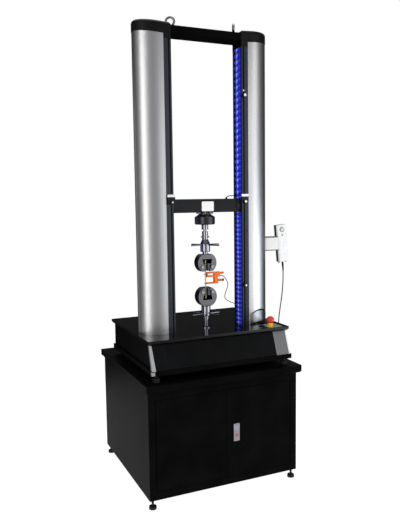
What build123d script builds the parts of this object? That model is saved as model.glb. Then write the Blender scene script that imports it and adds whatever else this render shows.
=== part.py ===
from build123d import *
import math
import os

# A floor-standing universal testing machine on its cabinet.
# Millimetres. z = 0 is the table surface, the load axis is x = y = 0, the front faces -y.

# Clearances
running_fit = 0.05
seat_gap = 0.3

# Cabinet
cabinet_width = 856.0
cabinet_front_y = -240.0
cabinet_depth = 799.0
cabinet_height = 554.5
cabinet_top_thickness = 41.5
top_overhang_side = 16.0
top_overhang_front = 31.0
top_overhang_back = 20.0
top_chamfer = 9.0
frame_depth = 30.0
stile_width = 36.0
top_rail_height = 41.5
bottom_rail_height = 39.0
panel_thickness = 3.0
cabinet_foot_height = 48.0
cabinet_foot_radius = 19.5
cabinet_foot_pad = 16.0
cabinet_foot_stem_radius = 6.0
cabinet_foot_inset = 21.0

# Doors
door_thickness = 18.0
door_skin = 1.5
door_gap = 3.5
door_seam = 2.0
door_end_gap = 2.0
pivot_edge = 8.0
pivot_depth = 7.0
pivot_radius = 3.5
pivot_grip = 12.0

# Door lock
lock_x = 58.0
lock_z = -521.0
lock_width = 34.0
lock_height = 94.0
lock_proud = 4.0
lock_body_depth = 14.0
lock_rim = 3.0
lever_width = 18.0
lever_length = 44.0
lever_thickness = 6.0
lever_pin_radius = 1.5
lock_button_radius = 8.0
lock_button_drop = 15.0
lock_button_travel = 3.0

# Machine base
machine_foot_height = 35.0
machine_foot_radius = 19.0
machine_foot_inset = 31.0
machine_foot_front_y = -205.0
machine_foot_back_y = 415.0
lip_thickness = 25.0
lip_inset = 5.0
lip_front_y = -235.0
lip_back_y = 445.0
lip_rim = 75.0
beam_inset = 41.0
beam_width = 20.0
beam_front_y = -150.0
beam_back_y = 400.0
housing_inset = 15.0
housing_height = 121.0
housing_back_y = 441.0
housing_wall = 3.0
fascia_top_y = -183.0
fascia_bottom_y = -230.0
fascia_thickness = 4.0
fascia_centre_width = 624.0
rib_count = 16
rib_depth = 1.6

# Table
table_width = 812.0
table_front_y = -200.0
table_back_y = 456.0
table_thickness = 21.0
table_chamfer = 10.0
table_rim_width = 6.0
table_rim_height = 3.0
table_hole_x = 92.0
table_hole_y = 27.0
table_hole_radius = 7.0

# Columns
column_inner_x = 200.0
strip_width = 40.0
strip_front_y = -54.0
slot_front_y = -42.0
slot_back_y = 40.0
rear_strip_inner_y = 46.0
cover_centre_x = 260.0
cover_centre_y = 22.0
cover_radius_x = 121.0
cover_radius_y = 76.0
cover_wall = 3.0
beam_bottom_z = 1506.0
top_beam_height = 68.0
bar_height = 40.0
top_beam_back_y = 54.0
beam_end_x = 335.0
beam_end_half_depth = 30.0
cap_seat_inner_z = 1530.0
cap_seat_rise = 11.0
cap_top_z = 1600.0
cap_top_fall = 10.0
cap_wall = 4.0
cap_shoulder = 20.0
tee_x = 213.0
tee_mouth = 8.0
tee_width = 14.0
tee_lip = 3.5
tee_depth = 4.5

# Drive
screw_x = 268.0
screw_radius = 16.0
rod_x = 318.0
rod_radius = 14.0
bearing_radius = 28.0
bearing_height = 20.0
nut_radius = 21.0
nut_flange_radius = 26.0
nut_flange = 8.0
bush_radius = 20.0
pulley_radius = 38.0
pulley_width = 24.0
pulley_z = -75.0
motor_pulley_radius = 19.0
motor_y = 240.0
motor_size = 118.0
motor_bottom_z = -196.0
motor_shaft_radius = 9.0
belt_thickness = 4.0
belt_width = 20.0

# Crosshead
crosshead_bottom_z = 629.0
crosshead_height = 72.0
crosshead_half_depth = 36.0
crosshead_end_x = 341.0
crosshead_end_half_depth = 26.0
flag_height = 52.0
flag_top_z = 725.0
flag_thickness = 5.0
flag_outer_x = 236.0
flag_step = 3.0
knob_radius = 9.0
knob_depth = 10.0

# Bellows
bellows_inner_gap = 3.0
bellows_depth = 17.0
bellows_sheet = 1.2
bellows_end = 2.0
lower_folds = 25
upper_folds = 24

# Load string
load_cell_neck_radius = 34.5
load_cell_radius = 55.0
load_cell_height = 65.0
load_cell_neck = 12.0
load_cell_shoulder = 12.0
load_cell_chamfer = 5.0
coupling_flange_radius = 18.3
coupling_flange = 28.0
coupling_neck_radius = 9.0
coupling_neck = 9.0
sleeve_radius = 16.5
sleeve_height = 44.0
cross_pin_radius = 4.0
cone_radius = 26.0
cone_height = 21.0
rod_neck_radius = 15.0
upper_nut_radius = 26.5
upper_nut_height = 46.0
nut_bar_radius = 4.5
nut_bar_count = 6
nut_turn = 6.0
upper_nut_reach = 85.0
grip_radius = 55.5
grip_half_depth = 26.5
grip_chamfer = 1.5
upper_grip_centre_z = 357.0
upper_grip_flat = 46.0
pocket_mouth = 14.0
pocket_end = 29.0
pocket_back_wall = 4.0
pocket_depth = 67.0
jaw_height = 40.0
jaw_inset = 2.0
jaw_half_depth = 21.5
jaw_teeth = 9
tooth_depth = 0.8
grip_bolt_radius = 9.0
grip_bolt_x = 29.5
grip_bolt_rise = 24.0
grip_bolt_height = 5.0
lower_grip_centre_z = 172.0
lower_grip_flat = 50.0
lower_nut_radius = 25.5
lower_nut_height = 56.0
lower_nut_reach = 84.0
stem_radius = 13.5
stem_collar_radius = 16.0
stem_collar_bottom = 45.0
stem_flange_radius = 27.0
stem_flange = 6.0
specimen_radius = 4.0
specimen_bottom_z = 160.0
specimen_top_z = 369.0

# Extensometer
knife_upper_z = 292.6
gauge_length = 50.0
arm_reach = 50.0
body_end_x = 85.0
body_height = 27.0
body_half_depth = 9.0
upright_end_x = 72.0
extensometer_arm_height = 8.0
stub_radius = 6.0
stub_end_x = 106.0

# Handset
handset_x = 494.0
handset_y = 22.0
handset_z = 442.0
handset_width = 62.0
handset_depth = 40.0
handset_height = 212.0
handset_lean = 5.0
handset_round = 7.0
dial_radius = 11.0
dial_up = 80.0
dial_proud = 5.0
bracket_height = 80.0
bracket_width = 44.0
relief_radius = 5.0
relief_length = 12.0

# Controls
stop_inset = 95.0
stop_y = -163.0
stop_head_radius = 20.0
stop_collar_radius = 15.0
stop_stem_radius = 7.0
stop_collar_height = 24.0
stop_head_bottom = 28.3
stop_head_height = 30.0
button_inset = 124.0
button_y = -118.0
button_radius = 9.0
button_stem = 14.0
button_proud = 5.0
upper_stop_z = 1250.0
lower_stop_z = 226.0
stop_block_height = 18.0

# Cords
extensometer_cord = 4.0
handset_cord = 6.0
socket_radius = 8.0
socket_height = 10.0
gland_radius = 9.0
gland_length = 8.0

# Sizes and levels that follow from the others
lip_width = table_width - 2 * lip_inset
housing_width = table_width - 2 * housing_inset
machine_foot_x = lip_width / 2 - machine_foot_inset
beam_x = housing_width / 2 - beam_inset
stop_x = table_width / 2 - stop_inset
button_x = table_width / 2 - button_inset
table_bottom_z = -table_thickness
housing_bottom_z = table_bottom_z - housing_height
lip_bottom_z = housing_bottom_z - lip_thickness
cabinet_top_z = lip_bottom_z - machine_foot_height
cabinet_body_top_z = cabinet_top_z - cabinet_top_thickness
cabinet_body_bottom_z = cabinet_body_top_z - cabinet_height
floor_z = cabinet_body_bottom_z - cabinet_foot_height
cabinet_back_y = cabinet_front_y + cabinet_depth
opening_half = cabinet_width / 2 - stile_width
opening_top_z = cabinet_body_top_z - top_rail_height
opening_bottom_z = cabinet_body_bottom_z + bottom_rail_height
beam_top_z = beam_bottom_z + top_beam_height
strip_outer_x = column_inner_x + strip_width
crosshead_top_z = crosshead_bottom_z + crosshead_height
cover_rear_y = cover_centre_y + cover_radius_y * math.sqrt(
    1 - ((cover_centre_x - strip_outer_x) / cover_radius_x) ** 2
)


def save(piece, name):
    """Label one finished piece and write it to its own file."""
    piece.part.label = name
    export_step(piece.part, f"parts/{name}.step")


def block(low, high, mode=Mode.ADD):
    """A box between two corners, inside the part that is being built."""
    centre = [(a + b) / 2 for a, b in zip(low, high)]
    with Locations(tuple(centre)):
        Box(*[b - a for a, b in zip(low, high)], mode=mode)


def rod(start, end, radius, mode=Mode.ADD):
    """A round bar from one point to another, inside the part that is being built."""
    axis = Vector(*end) - Vector(*start)
    with Locations(Plane(origin=start, z_dir=axis)):
        Cylinder(radius, axis.length, align=(Align.CENTER, Align.CENTER, Align.MIN), mode=mode)


def turned(points, mode=Mode.ADD):
    """A turned form about the load axis from its (radius, z) profile."""
    with BuildSketch(Plane.XZ) as profile:
        with BuildLine():
            Polyline(*points, close=True)
        make_face()
    revolve(profile.sketch, axis=Axis.Z, mode=mode)


os.makedirs("parts", exist_ok=True)

# Cabinet top slab
slab_front_y = cabinet_front_y - top_overhang_front
slab_back_y = cabinet_back_y + top_overhang_back
slab_half = cabinet_width / 2 + top_overhang_side
with BuildPart() as cabinet_top:
    block((-slab_half, slab_front_y, cabinet_body_top_z), (slab_half, slab_back_y, cabinet_top_z))
    chamfer(cabinet_top.faces().sort_by(Axis.Z)[0].edges(), top_chamfer)
    fillet(cabinet_top.edges().filter_by(Axis.Z), 3)
save(cabinet_top, "cabinet_top")

# Front frame with the door opening and the four pivot holes
pin_x = opening_half - door_gap - pivot_edge
pin_y = cabinet_front_y + pivot_depth
pivot_points = [(side * pin_x, z) for side in (-1, 1) for z in (opening_bottom_z, opening_top_z)]
frame_back_y = cabinet_front_y + frame_depth
with BuildPart() as cabinet_front_frame:
    block(
        (-cabinet_width / 2, cabinet_front_y, cabinet_body_bottom_z),
        (cabinet_width / 2, frame_back_y, cabinet_body_top_z),
    )
    block(
        (-opening_half, cabinet_front_y - 1, opening_bottom_z),
        (opening_half, frame_back_y + 1, opening_top_z),
        mode=Mode.SUBTRACT,
    )
    for x, z in pivot_points:
        rod((x, pin_y, z - pivot_grip), (x, pin_y, z + pivot_grip), pivot_radius, Mode.SUBTRACT)
save(cabinet_front_frame, "cabinet_front_frame")

# Side, back and floor panels
with BuildPart() as cabinet_panels:
    for side in (-1, 1):
        outer = side * cabinet_width / 2
        inner = side * (cabinet_width / 2 - panel_thickness)
        block(
            (min(outer, inner), frame_back_y, cabinet_body_bottom_z),
            (max(outer, inner), cabinet_back_y - panel_thickness, cabinet_body_top_z),
        )
    block(
        (-cabinet_width / 2, cabinet_back_y - panel_thickness, cabinet_body_bottom_z),
        (cabinet_width / 2, cabinet_back_y, cabinet_body_top_z),
    )
    block(
        (panel_thickness - cabinet_width / 2, frame_back_y, cabinet_body_bottom_z),
        (cabinet_width / 2 - panel_thickness, cabinet_back_y - panel_thickness,
         cabinet_body_bottom_z + panel_thickness),
    )
save(cabinet_panels, "cabinet_panels")

# Levelling feet under the cabinet
foot_x = cabinet_width / 2 - cabinet_foot_inset
foot_front_y = cabinet_front_y + cabinet_foot_inset
foot_back_y = cabinet_back_y - cabinet_foot_inset
with BuildPart() as cabinet_feet:
    for x in (-foot_x, foot_x):
        for y in (foot_front_y, foot_back_y):
            rod((x, y, floor_z), (x, y, floor_z + cabinet_foot_pad), cabinet_foot_radius)
            rod((x, y, floor_z + cabinet_foot_pad), (x, y, cabinet_body_bottom_z), cabinet_foot_stem_radius)
    pad_top = cabinet_feet.edges().filter_by(GeomType.CIRCLE).filter_by(
        lambda e: abs(e.radius - cabinet_foot_radius) < 0.01 and e.center().Z > floor_z + 1
    )
    fillet(pad_top, cabinet_foot_pad / 3)
save(cabinet_feet, "cabinet_feet")

# Pivot pins pressed into the frame
with BuildPart() as door_pins:
    for x, z in pivot_points:
        rod((x, pin_y, z - pivot_grip), (x, pin_y, z + pivot_grip), pivot_radius)
save(door_pins, "door_pins")

# Doors: folded pans that turn on their pins
door_width = opening_half - door_gap - door_seam / 2
door_bottom_z = opening_bottom_z + door_end_gap
door_top_z = opening_top_z - door_end_gap
lock_cut_half_width = lock_width / 2 - lock_rim
lock_cut_half_height = lock_height / 2 - lock_rim


def make_door(side):
    """One door, with a pivot block at its top and bottom outer corners."""
    near = door_seam / 2
    far = near + door_width
    low_x, high_x = sorted((side * near, side * far))
    with BuildPart() as door:
        block(
            (low_x, cabinet_front_y, door_bottom_z),
            (high_x, cabinet_front_y + door_thickness, door_top_z),
        )
        block(
            (low_x + door_skin, cabinet_front_y + door_skin, door_bottom_z + door_skin),
            (high_x - door_skin, cabinet_front_y + door_thickness + 1, door_top_z - door_skin),
            mode=Mode.SUBTRACT,
        )
        for bottom in (door_bottom_z, door_top_z - 2 * pivot_grip):
            corner_x = sorted((side * far, side * (far - 3 * pivot_edge)))
            block(
                (corner_x[0], cabinet_front_y, bottom),
                (corner_x[1], cabinet_front_y + door_thickness, bottom + 2 * pivot_grip),
            )
            rod(
                (side * pin_x, pin_y, bottom - 1),
                (side * pin_x, pin_y, bottom + 2 * pivot_grip + 1),
                pivot_radius + running_fit,
                Mode.SUBTRACT,
            )
        if side > 0:
            block(
                (lock_x - lock_cut_half_width, cabinet_front_y - 1, lock_z - lock_cut_half_height),
                (lock_x + lock_cut_half_width, cabinet_front_y + door_skin + 1, lock_z + lock_cut_half_height),
                mode=Mode.SUBTRACT,
            )
    return door


save(make_door(-1), "left_door")
save(make_door(1), "right_door")

# Lock: bezel and body, a swing lever on a cross pin, and a push button
bezel_front_y = cabinet_front_y - lock_proud
lever_top_z = lock_z + lock_height / 2 - 2 * lock_rim
lever_pin_z = lever_top_z - lever_thickness / 2
lever_pin_y = bezel_front_y + lever_thickness / 2
button_z = lock_z - lock_button_drop
with BuildPart() as lock_plate:
    block(
        (lock_x - lock_width / 2, bezel_front_y, lock_z - lock_height / 2),
        (lock_x + lock_width / 2, cabinet_front_y, lock_z + lock_height / 2),
    )
    fillet(lock_plate.edges().filter_by(Axis.Y), 4)
    block(
        (lock_x - lock_cut_half_width, cabinet_front_y, lock_z - lock_cut_half_height),
        (lock_x + lock_cut_half_width, cabinet_front_y + lock_body_depth, lock_z + lock_cut_half_height),
    )
    block(
        (lock_x - lever_width / 2 - seat_gap, bezel_front_y - 1, lever_top_z - lever_length - seat_gap),
        (lock_x + lever_width / 2 + seat_gap, bezel_front_y + lever_thickness + seat_gap,
         lever_top_z + seat_gap),
        mode=Mode.SUBTRACT,
    )
    rod(
        (lock_x - lever_width / 2 - lock_rim, lever_pin_y, lever_pin_z),
        (lock_x + lever_width / 2 + lock_rim, lever_pin_y, lever_pin_z),
        lever_pin_radius + running_fit,
        Mode.SUBTRACT,
    )
    rod(
        (lock_x, bezel_front_y - 1, button_z),
        (lock_x, cabinet_front_y + lock_body_depth - lock_rim, button_z),
        lock_button_radius + running_fit,
        Mode.SUBTRACT,
    )
save(lock_plate, "lock_plate")

with BuildPart() as lock_lever:
    block(
        (lock_x - lever_width / 2, bezel_front_y, lever_top_z - lever_length),
        (lock_x + lever_width / 2, bezel_front_y + lever_thickness, lever_pin_z),
    )
    rod(
        (lock_x - lever_width / 2, lever_pin_y, lever_pin_z),
        (lock_x + lever_width / 2, lever_pin_y, lever_pin_z),
        lever_thickness / 2,
    )
    pin_end = lever_width / 2 + lock_rim - seat_gap
    rod(
        (lock_x - pin_end, lever_pin_y, lever_pin_z),
        (lock_x + pin_end, lever_pin_y, lever_pin_z),
        lever_pin_radius,
    )
save(lock_lever, "lock_lever")

with BuildPart() as lock_button:
    rod(
        (lock_x, bezel_front_y - 1, button_z),
        (lock_x, cabinet_front_y + lock_body_depth - lock_rim - lock_button_travel - seat_gap, button_z),
        lock_button_radius,
    )
    chamfer(lock_button.faces().sort_by(Axis.Y)[0].edges(), 1)
save(lock_button, "lock_button")

# Machine feet between the base and the cabinet's top
with BuildPart() as machine_feet:
    for x in (-machine_foot_x, machine_foot_x):
        for y in (machine_foot_front_y, machine_foot_back_y):
            rod((x, y, cabinet_top_z), (x, y, cabinet_top_z + machine_foot_height * 0.6), machine_foot_radius)
            rod((x, y, cabinet_top_z), (x, y, lip_bottom_z), machine_foot_radius / 2)
save(machine_feet, "machine_feet")

# Base frame: the lip all round and the two beams that carry the table
with BuildPart() as base_frame:
    block((-lip_width / 2, lip_front_y, lip_bottom_z), (lip_width / 2, lip_back_y, housing_bottom_z))
    block(
        (lip_rim - lip_width / 2, lip_front_y + lip_rim, lip_bottom_z - 1),
        (lip_width / 2 - lip_rim, lip_back_y - lip_rim, housing_bottom_z + 1),
        mode=Mode.SUBTRACT,
    )
    for side in (-1, 1):
        block(
            (side * beam_x - beam_width / 2, beam_front_y, housing_bottom_z),
            (side * beam_x + beam_width / 2, beam_back_y, table_bottom_z),
        )
save(base_frame, "base_frame")

# Housing: side and back walls and the slanted wall behind the fascia
fascia_slope_y = (fascia_bottom_y - fascia_top_y) / housing_height


def side_section(front_offset, inset):
    """The base's side profile: upright back, front slanted from the table down to the lip."""
    top = table_bottom_z
    bottom = housing_bottom_z
    return [
        (fascia_top_y + front_offset, top),
        (fascia_bottom_y + front_offset, bottom),
        (housing_back_y - inset, bottom),
        (housing_back_y - inset, top),
    ]


with BuildPart() as base_housing:
    with BuildSketch(Plane.YZ.offset(-housing_width / 2)):
        with BuildLine():
            Polyline(*side_section(fascia_thickness, 0), close=True)
        make_face()
    extrude(amount=housing_width)
    with BuildSketch(Plane.YZ.offset(housing_wall - housing_width / 2)):
        with BuildLine():
            Polyline(*side_section(fascia_thickness + housing_wall, housing_wall), close=True)
        make_face()
    extrude(amount=housing_width - 2 * housing_wall, mode=Mode.SUBTRACT)
save(base_housing, "base_housing")


# Fascia: a ribbed centre panel between two smooth end panels
def fascia_profile(ribs):
    """Side profile of a fascia panel, with the given number of sawtooth ribs on its front."""
    points = [(fascia_top_y + fascia_thickness, table_bottom_z), (fascia_top_y, table_bottom_z)]
    for k in range(ribs):
        for part, depth in ((0.62, 0.0), (0.72, rib_depth), (0.9, rib_depth)):
            z = table_bottom_z - housing_height * (k + part) / ribs
            points.append((fascia_top_y + fascia_slope_y * (table_bottom_z - z) + depth, z))
        if k < ribs - 1:
            z = table_bottom_z - housing_height * (k + 1) / ribs
            points.append((fascia_top_y + fascia_slope_y * (table_bottom_z - z), z))
    points.append((fascia_bottom_y, housing_bottom_z))
    points.append((fascia_bottom_y + fascia_thickness, housing_bottom_z))
    return points


end_panel_width = (housing_width - fascia_centre_width) / 2 - seat_gap
with BuildPart() as front_fascia:
    with BuildSketch(Plane.YZ.offset(-fascia_centre_width / 2)):
        with BuildLine():
            Polyline(*fascia_profile(rib_count), close=True)
        make_face()
    extrude(amount=fascia_centre_width)
    for start in (-housing_width / 2, fascia_centre_width / 2 + seat_gap):
        with BuildSketch(Plane.YZ.offset(start)):
            with BuildLine():
                Polyline(*fascia_profile(0), close=True)
            make_face()
        extrude(amount=end_panel_width)
save(front_fascia, "front_fascia")

# Table with a raised rim, threaded holes, screw passages and rod seats
with BuildPart() as table_top:
    block(
        (-table_width / 2, table_front_y, table_bottom_z),
        (table_width / 2, table_back_y, table_rim_height),
    )
    chamfer(table_top.faces().sort_by(Axis.Z)[0].edges(), table_chamfer)
    block(
        (table_rim_width - table_width / 2, table_front_y + table_rim_width, 0),
        (table_width / 2 - table_rim_width, table_back_y - table_rim_width, table_rim_height + 1),
        mode=Mode.SUBTRACT,
    )
    with Locations((0, 0, 0)):
        with GridLocations(2 * table_hole_x, 2 * table_hole_y, 2, 2):
            Hole(table_hole_radius, depth=table_thickness)
        with GridLocations(2 * screw_x, 0, 2, 1):
            Hole(screw_radius + 2, depth=table_thickness)
        with GridLocations(2 * rod_x, 0, 2, 1):
            Hole(rod_radius, depth=table_thickness)
    with Locations((button_x, button_y, 0)):
        Hole(button_radius + running_fit, depth=table_thickness)
save(table_top, "table_top")

# Drive motor with its mounting plate under the table, and its pulley
motor_top_z = pulley_z - pulley_width
with BuildPart() as drive_motor:
    block(
        (-motor_size / 2, motor_y - motor_size / 2, motor_bottom_z),
        (motor_size / 2, motor_y + motor_size / 2, motor_top_z - 8),
    )
    fillet(drive_motor.edges().filter_by(Axis.Z), 10)
    hanger_half = motor_size / 2 + 12
    block(
        (-hanger_half, motor_y - motor_size / 2, motor_top_z - 8),
        (hanger_half, motor_y + motor_size / 2, motor_top_z),
    )
    for side in (-1, 1):
        low_x, high_x = sorted((side * hanger_half, side * (hanger_half - 6)))
        block(
            (low_x, motor_y + 30, motor_top_z),
            (high_x, motor_y + motor_size / 2, table_bottom_z),
        )
    rod(
        (0, motor_y, motor_top_z - 30), (0, motor_y, motor_top_z + 1),
        motor_shaft_radius + running_fit, Mode.SUBTRACT,
    )
save(drive_motor, "drive_motor")

with BuildPart() as motor_pulley:
    rod((0, motor_y, motor_top_z - 29), (0, motor_y, pulley_z + pulley_width), motor_shaft_radius)
    rod((0, motor_y, pulley_z), (0, motor_y, pulley_z + pulley_width), motor_pulley_radius)
save(motor_pulley, "motor_pulley")

# Toothed belt round the three pulleys, seen as one band
belt_rounds = [(-screw_x, 0.0, pulley_radius), (screw_x, 0.0, pulley_radius), (0.0, motor_y, motor_pulley_radius)]
belt_bottom_z = pulley_z + (pulley_width - belt_width) / 2
with BuildPart() as drive_belt:
    for grow, mode in ((seat_gap + belt_thickness, Mode.ADD), (seat_gap, Mode.SUBTRACT)):
        with BuildSketch(Plane.XY.offset(belt_bottom_z)) as loop:
            for x, y, radius in belt_rounds:
                with Locations((x, y)):
                    Circle(radius + grow)
            make_hull()
        extrude(amount=belt_width, mode=mode)
save(drive_belt, "drive_belt")


# Lead screws with their pulleys; the threads are too fine to matter here
def make_screw(side):
    """One lead screw from its pulley up to the bearing in the top beam."""
    x = side * screw_x
    with BuildPart() as screw:
        rod((x, 0, pulley_z), (x, 0, beam_bottom_z + bearing_height - seat_gap), screw_radius)
        rod((x, 0, pulley_z), (x, 0, pulley_z + pulley_width), pulley_radius)
    return screw


save(make_screw(-1), "left_lead_screw")
save(make_screw(1), "right_lead_screw")

# Screw bearings: two under the table and two in the top beam
with BuildPart() as screw_bearings:
    for side in (-1, 1):
        for bottom in (table_bottom_z - bearing_height, beam_bottom_z):
            x = side * screw_x
            rod((x, 0, bottom), (x, 0, bottom + bearing_height), bearing_radius)
            rod((x, 0, bottom), (x, 0, bottom + bearing_height), screw_radius + running_fit, Mode.SUBTRACT)
save(screw_bearings, "screw_bearings")

with BuildPart() as guide_rods:
    for side in (-1, 1):
        rod((side * rod_x, 0, table_bottom_z), (side * rod_x, 0, beam_bottom_z), rod_radius)
save(guide_rods, "guide_rods")


# Column section pieces
def cover_outline(grow):
    """Half-ellipse section of the right cover, cut at the strips, in the sketch being built."""
    with Locations((cover_centre_x, cover_centre_y)):
        Ellipse(cover_radius_x + grow, cover_radius_y + grow)
    with Locations((strip_outer_x, cover_centre_y)):
        Rectangle(
            2 * cover_radius_x, 4 * cover_radius_y, align=(Align.MAX, Align.CENTER), mode=Mode.SUBTRACT
        )


cap_seat_slope = math.degrees(math.atan2(cap_seat_rise, cover_centre_x + cover_radius_x - strip_outer_x))
cap_seat = Plane(
    origin=(strip_outer_x, 0, cap_seat_inner_z), z_dir=Vector(0, 0, 1).rotate(Axis.Y, -cap_seat_slope)
)
with BuildPart() as column_covers:
    with BuildSketch():
        cover_outline(0)
    extrude(amount=cap_top_z)
    with BuildSketch():
        cover_outline(-cover_wall)
    extrude(amount=cap_top_z, mode=Mode.SUBTRACT)
    split(bisect_by=cap_seat, keep=Keep.BOTTOM)
    mirror(about=Plane.YZ)
save(column_covers, "column_covers")

# Black strips: front strip with a T-slot, rear strip with a slanted outer face
with BuildPart() as column_strips:
    with BuildSketch():
        with BuildLine():
            Polyline(
                (column_inner_x, strip_front_y),
                (tee_x - tee_mouth / 2, strip_front_y),
                (tee_x - tee_mouth / 2, strip_front_y + tee_lip),
                (tee_x - tee_width / 2, strip_front_y + tee_lip),
                (tee_x - tee_width / 2, strip_front_y + tee_lip + tee_depth),
                (tee_x + tee_width / 2, strip_front_y + tee_lip + tee_depth),
                (tee_x + tee_width / 2, strip_front_y + tee_lip),
                (tee_x + tee_mouth / 2, strip_front_y + tee_lip),
                (tee_x + tee_mouth / 2, strip_front_y),
                (strip_outer_x, strip_front_y),
                (strip_outer_x, slot_front_y),
                (column_inner_x, slot_front_y),
                close=True,
            )
        make_face()
        with BuildLine():
            Polyline(
                (column_inner_x, slot_back_y),
                (strip_outer_x, slot_back_y),
                (strip_outer_x, cover_rear_y),
                (column_inner_x, rear_strip_inner_y),
                close=True,
            )
        make_face()
    extrude(amount=beam_bottom_z)
    mirror(about=Plane.YZ)
save(column_strips, "column_strips")

# Caps: hollow shells that seat on the covers and the strips
cap_outer_x = cover_centre_x + cover_radius_x
cap_lip = 1.5


def cap_outline(grow):
    """Section of the right cap: the cover's ellipse closed by the strips' outer faces."""
    radius_x = cover_radius_x + grow
    end_angle = math.degrees(math.acos((strip_outer_x - cover_centre_x) / radius_x))
    with BuildSketch(Plane.XY.offset(beam_bottom_z)) as outline:
        with BuildLine():
            round_side = EllipticalCenterArc(
                (cover_centre_x, cover_centre_y), radius_x, cover_radius_y + grow,
                start_angle=-end_angle, arc_size=2 * end_angle,
            )
            Polyline(
                round_side @ 1,
                (column_inner_x, rear_strip_inner_y + grow),
                (column_inner_x, strip_front_y - grow),
                round_side @ 0,
            )
        make_face()
    return outline.sketch


with BuildPart() as column_caps:
    extrude(cap_outline(cap_lip), amount=cap_top_z - beam_bottom_z)
    with BuildSketch(Plane.XZ.offset(2 * cover_radius_y)):
        far_x = cap_outer_x + 5
        with BuildLine():
            Polyline(
                (column_inner_x - 1, beam_bottom_z),
                (strip_outer_x, beam_bottom_z),
                (strip_outer_x, cap_seat_inner_z),
                (far_x, cap_seat_inner_z + cap_seat_rise * (far_x - strip_outer_x) / (cap_outer_x - strip_outer_x)),
                (far_x, cap_top_z),
                (column_inner_x - 1, cap_top_z - cap_top_fall),
                close=True,
            )
        make_face()
    extrude(amount=-4 * cover_radius_y, mode=Mode.INTERSECT)
    fillet(column_caps.faces().sort_by(Axis.Z)[-1].edges(), cap_shoulder)
    extrude(cap_outline(-cap_wall), amount=beam_top_z + seat_gap - beam_bottom_z, mode=Mode.SUBTRACT)
    block(
        (column_inner_x - 1, -beam_end_half_depth - seat_gap, beam_bottom_z - 1),
        (column_inner_x + cap_wall + 1, beam_end_half_depth + seat_gap, beam_top_z + seat_gap),
        mode=Mode.SUBTRACT,
    )
    mirror(about=Plane.YZ)
save(column_caps, "column_caps")

# Top beam: full depth between the columns, narrower inside the caps
with BuildPart() as top_beam:
    block((-column_inner_x, strip_front_y, beam_top_z - bar_height), (column_inner_x, top_beam_back_y, beam_top_z))
    for side in (-1, 1):
        low_x, high_x = sorted((side * column_inner_x, side * beam_end_x))
        block((low_x, -beam_end_half_depth, beam_bottom_z), (high_x, beam_end_half_depth, beam_top_z))
    with Locations((0, 0, beam_bottom_z)):
        with GridLocations(2 * screw_x, 0, 2, 1):
            Cylinder(
                bearing_radius, bearing_height, align=(Align.CENTER, Align.CENTER, Align.MIN), mode=Mode.SUBTRACT
            )
eyebolt_x = 182.0
eyebolt_thread = 6.0
with BuildPart(mode=Mode.PRIVATE) as eyebolt_seats:
    for side in (-1, 1):
        rod((side * eyebolt_x, 0, beam_top_z - 20), (side * eyebolt_x, 0, beam_top_z), eyebolt_thread)
with top_beam:
    add(eyebolt_seats.part, mode=Mode.SUBTRACT)
save(top_beam, "top_beam")

# Lifting eyebolts, each turned its own way as it happened to tighten
eye_ring_radius = 21.0
eye_section = 6.0
eye_collar_radius = 15.0
eye_collar = 7.0
eye_turn = {-1: 24.0, 1: -66.0}
with BuildPart() as eyebolts:
    for side in (-1, 1):
        x = side * eyebolt_x
        centre_z = beam_top_z + eye_collar + eye_ring_radius + eye_section * 0.6
        rod((x, 0, beam_top_z - 20), (x, 0, beam_top_z), eyebolt_thread)
        rod((x, 0, beam_top_z), (x, 0, beam_top_z + eye_collar), eye_collar_radius)
        turn = math.radians(eye_turn[side])
        ring_axis = Vector(math.sin(turn), math.cos(turn), 0)
        with Locations(Plane(origin=(x, 0, centre_z), z_dir=ring_axis)):
            Torus(eye_ring_radius, eye_section)
save(eyebolts, "eyebolts")

# Crosshead, bored for the nuts and bushes at its ends
with BuildPart() as crosshead:
    block(
        (-column_inner_x + seat_gap, -crosshead_half_depth, crosshead_bottom_z),
        (column_inner_x - seat_gap, crosshead_half_depth, crosshead_top_z),
    )
    chamfer(crosshead.edges().filter_by(Axis.X), 2)
    block(
        (-crosshead_end_x, -crosshead_end_half_depth, crosshead_bottom_z),
        (crosshead_end_x, crosshead_end_half_depth, crosshead_top_z),
    )
    for side in (-1, 1):
        for x, radius in ((screw_x, nut_radius), (rod_x, bush_radius)):
            rod(
                (side * x, 0, crosshead_bottom_z - 1), (side * x, 0, crosshead_top_z + 1),
                radius, Mode.SUBTRACT,
            )
save(crosshead, "crosshead")

with BuildPart() as drive_nuts:
    for side in (-1, 1):
        x = side * screw_x
        rod((x, 0, crosshead_bottom_z), (x, 0, crosshead_top_z), nut_radius)
        rod((x, 0, crosshead_bottom_z - nut_flange), (x, 0, crosshead_bottom_z), nut_flange_radius)
        rod(
            (x, 0, crosshead_bottom_z - nut_flange - 1), (x, 0, crosshead_top_z + 1),
            screw_radius + running_fit, Mode.SUBTRACT,
        )
save(drive_nuts, "drive_nuts")

with BuildPart() as guide_bushes:
    for side in (-1, 1):
        x = side * rod_x
        rod((x, 0, crosshead_bottom_z), (x, 0, crosshead_top_z), bush_radius)
        rod(
            (x, 0, crosshead_bottom_z - 1), (x, 0, crosshead_top_z + 1),
            rod_radius + running_fit, Mode.SUBTRACT,
        )
save(guide_bushes, "guide_bushes")

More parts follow.
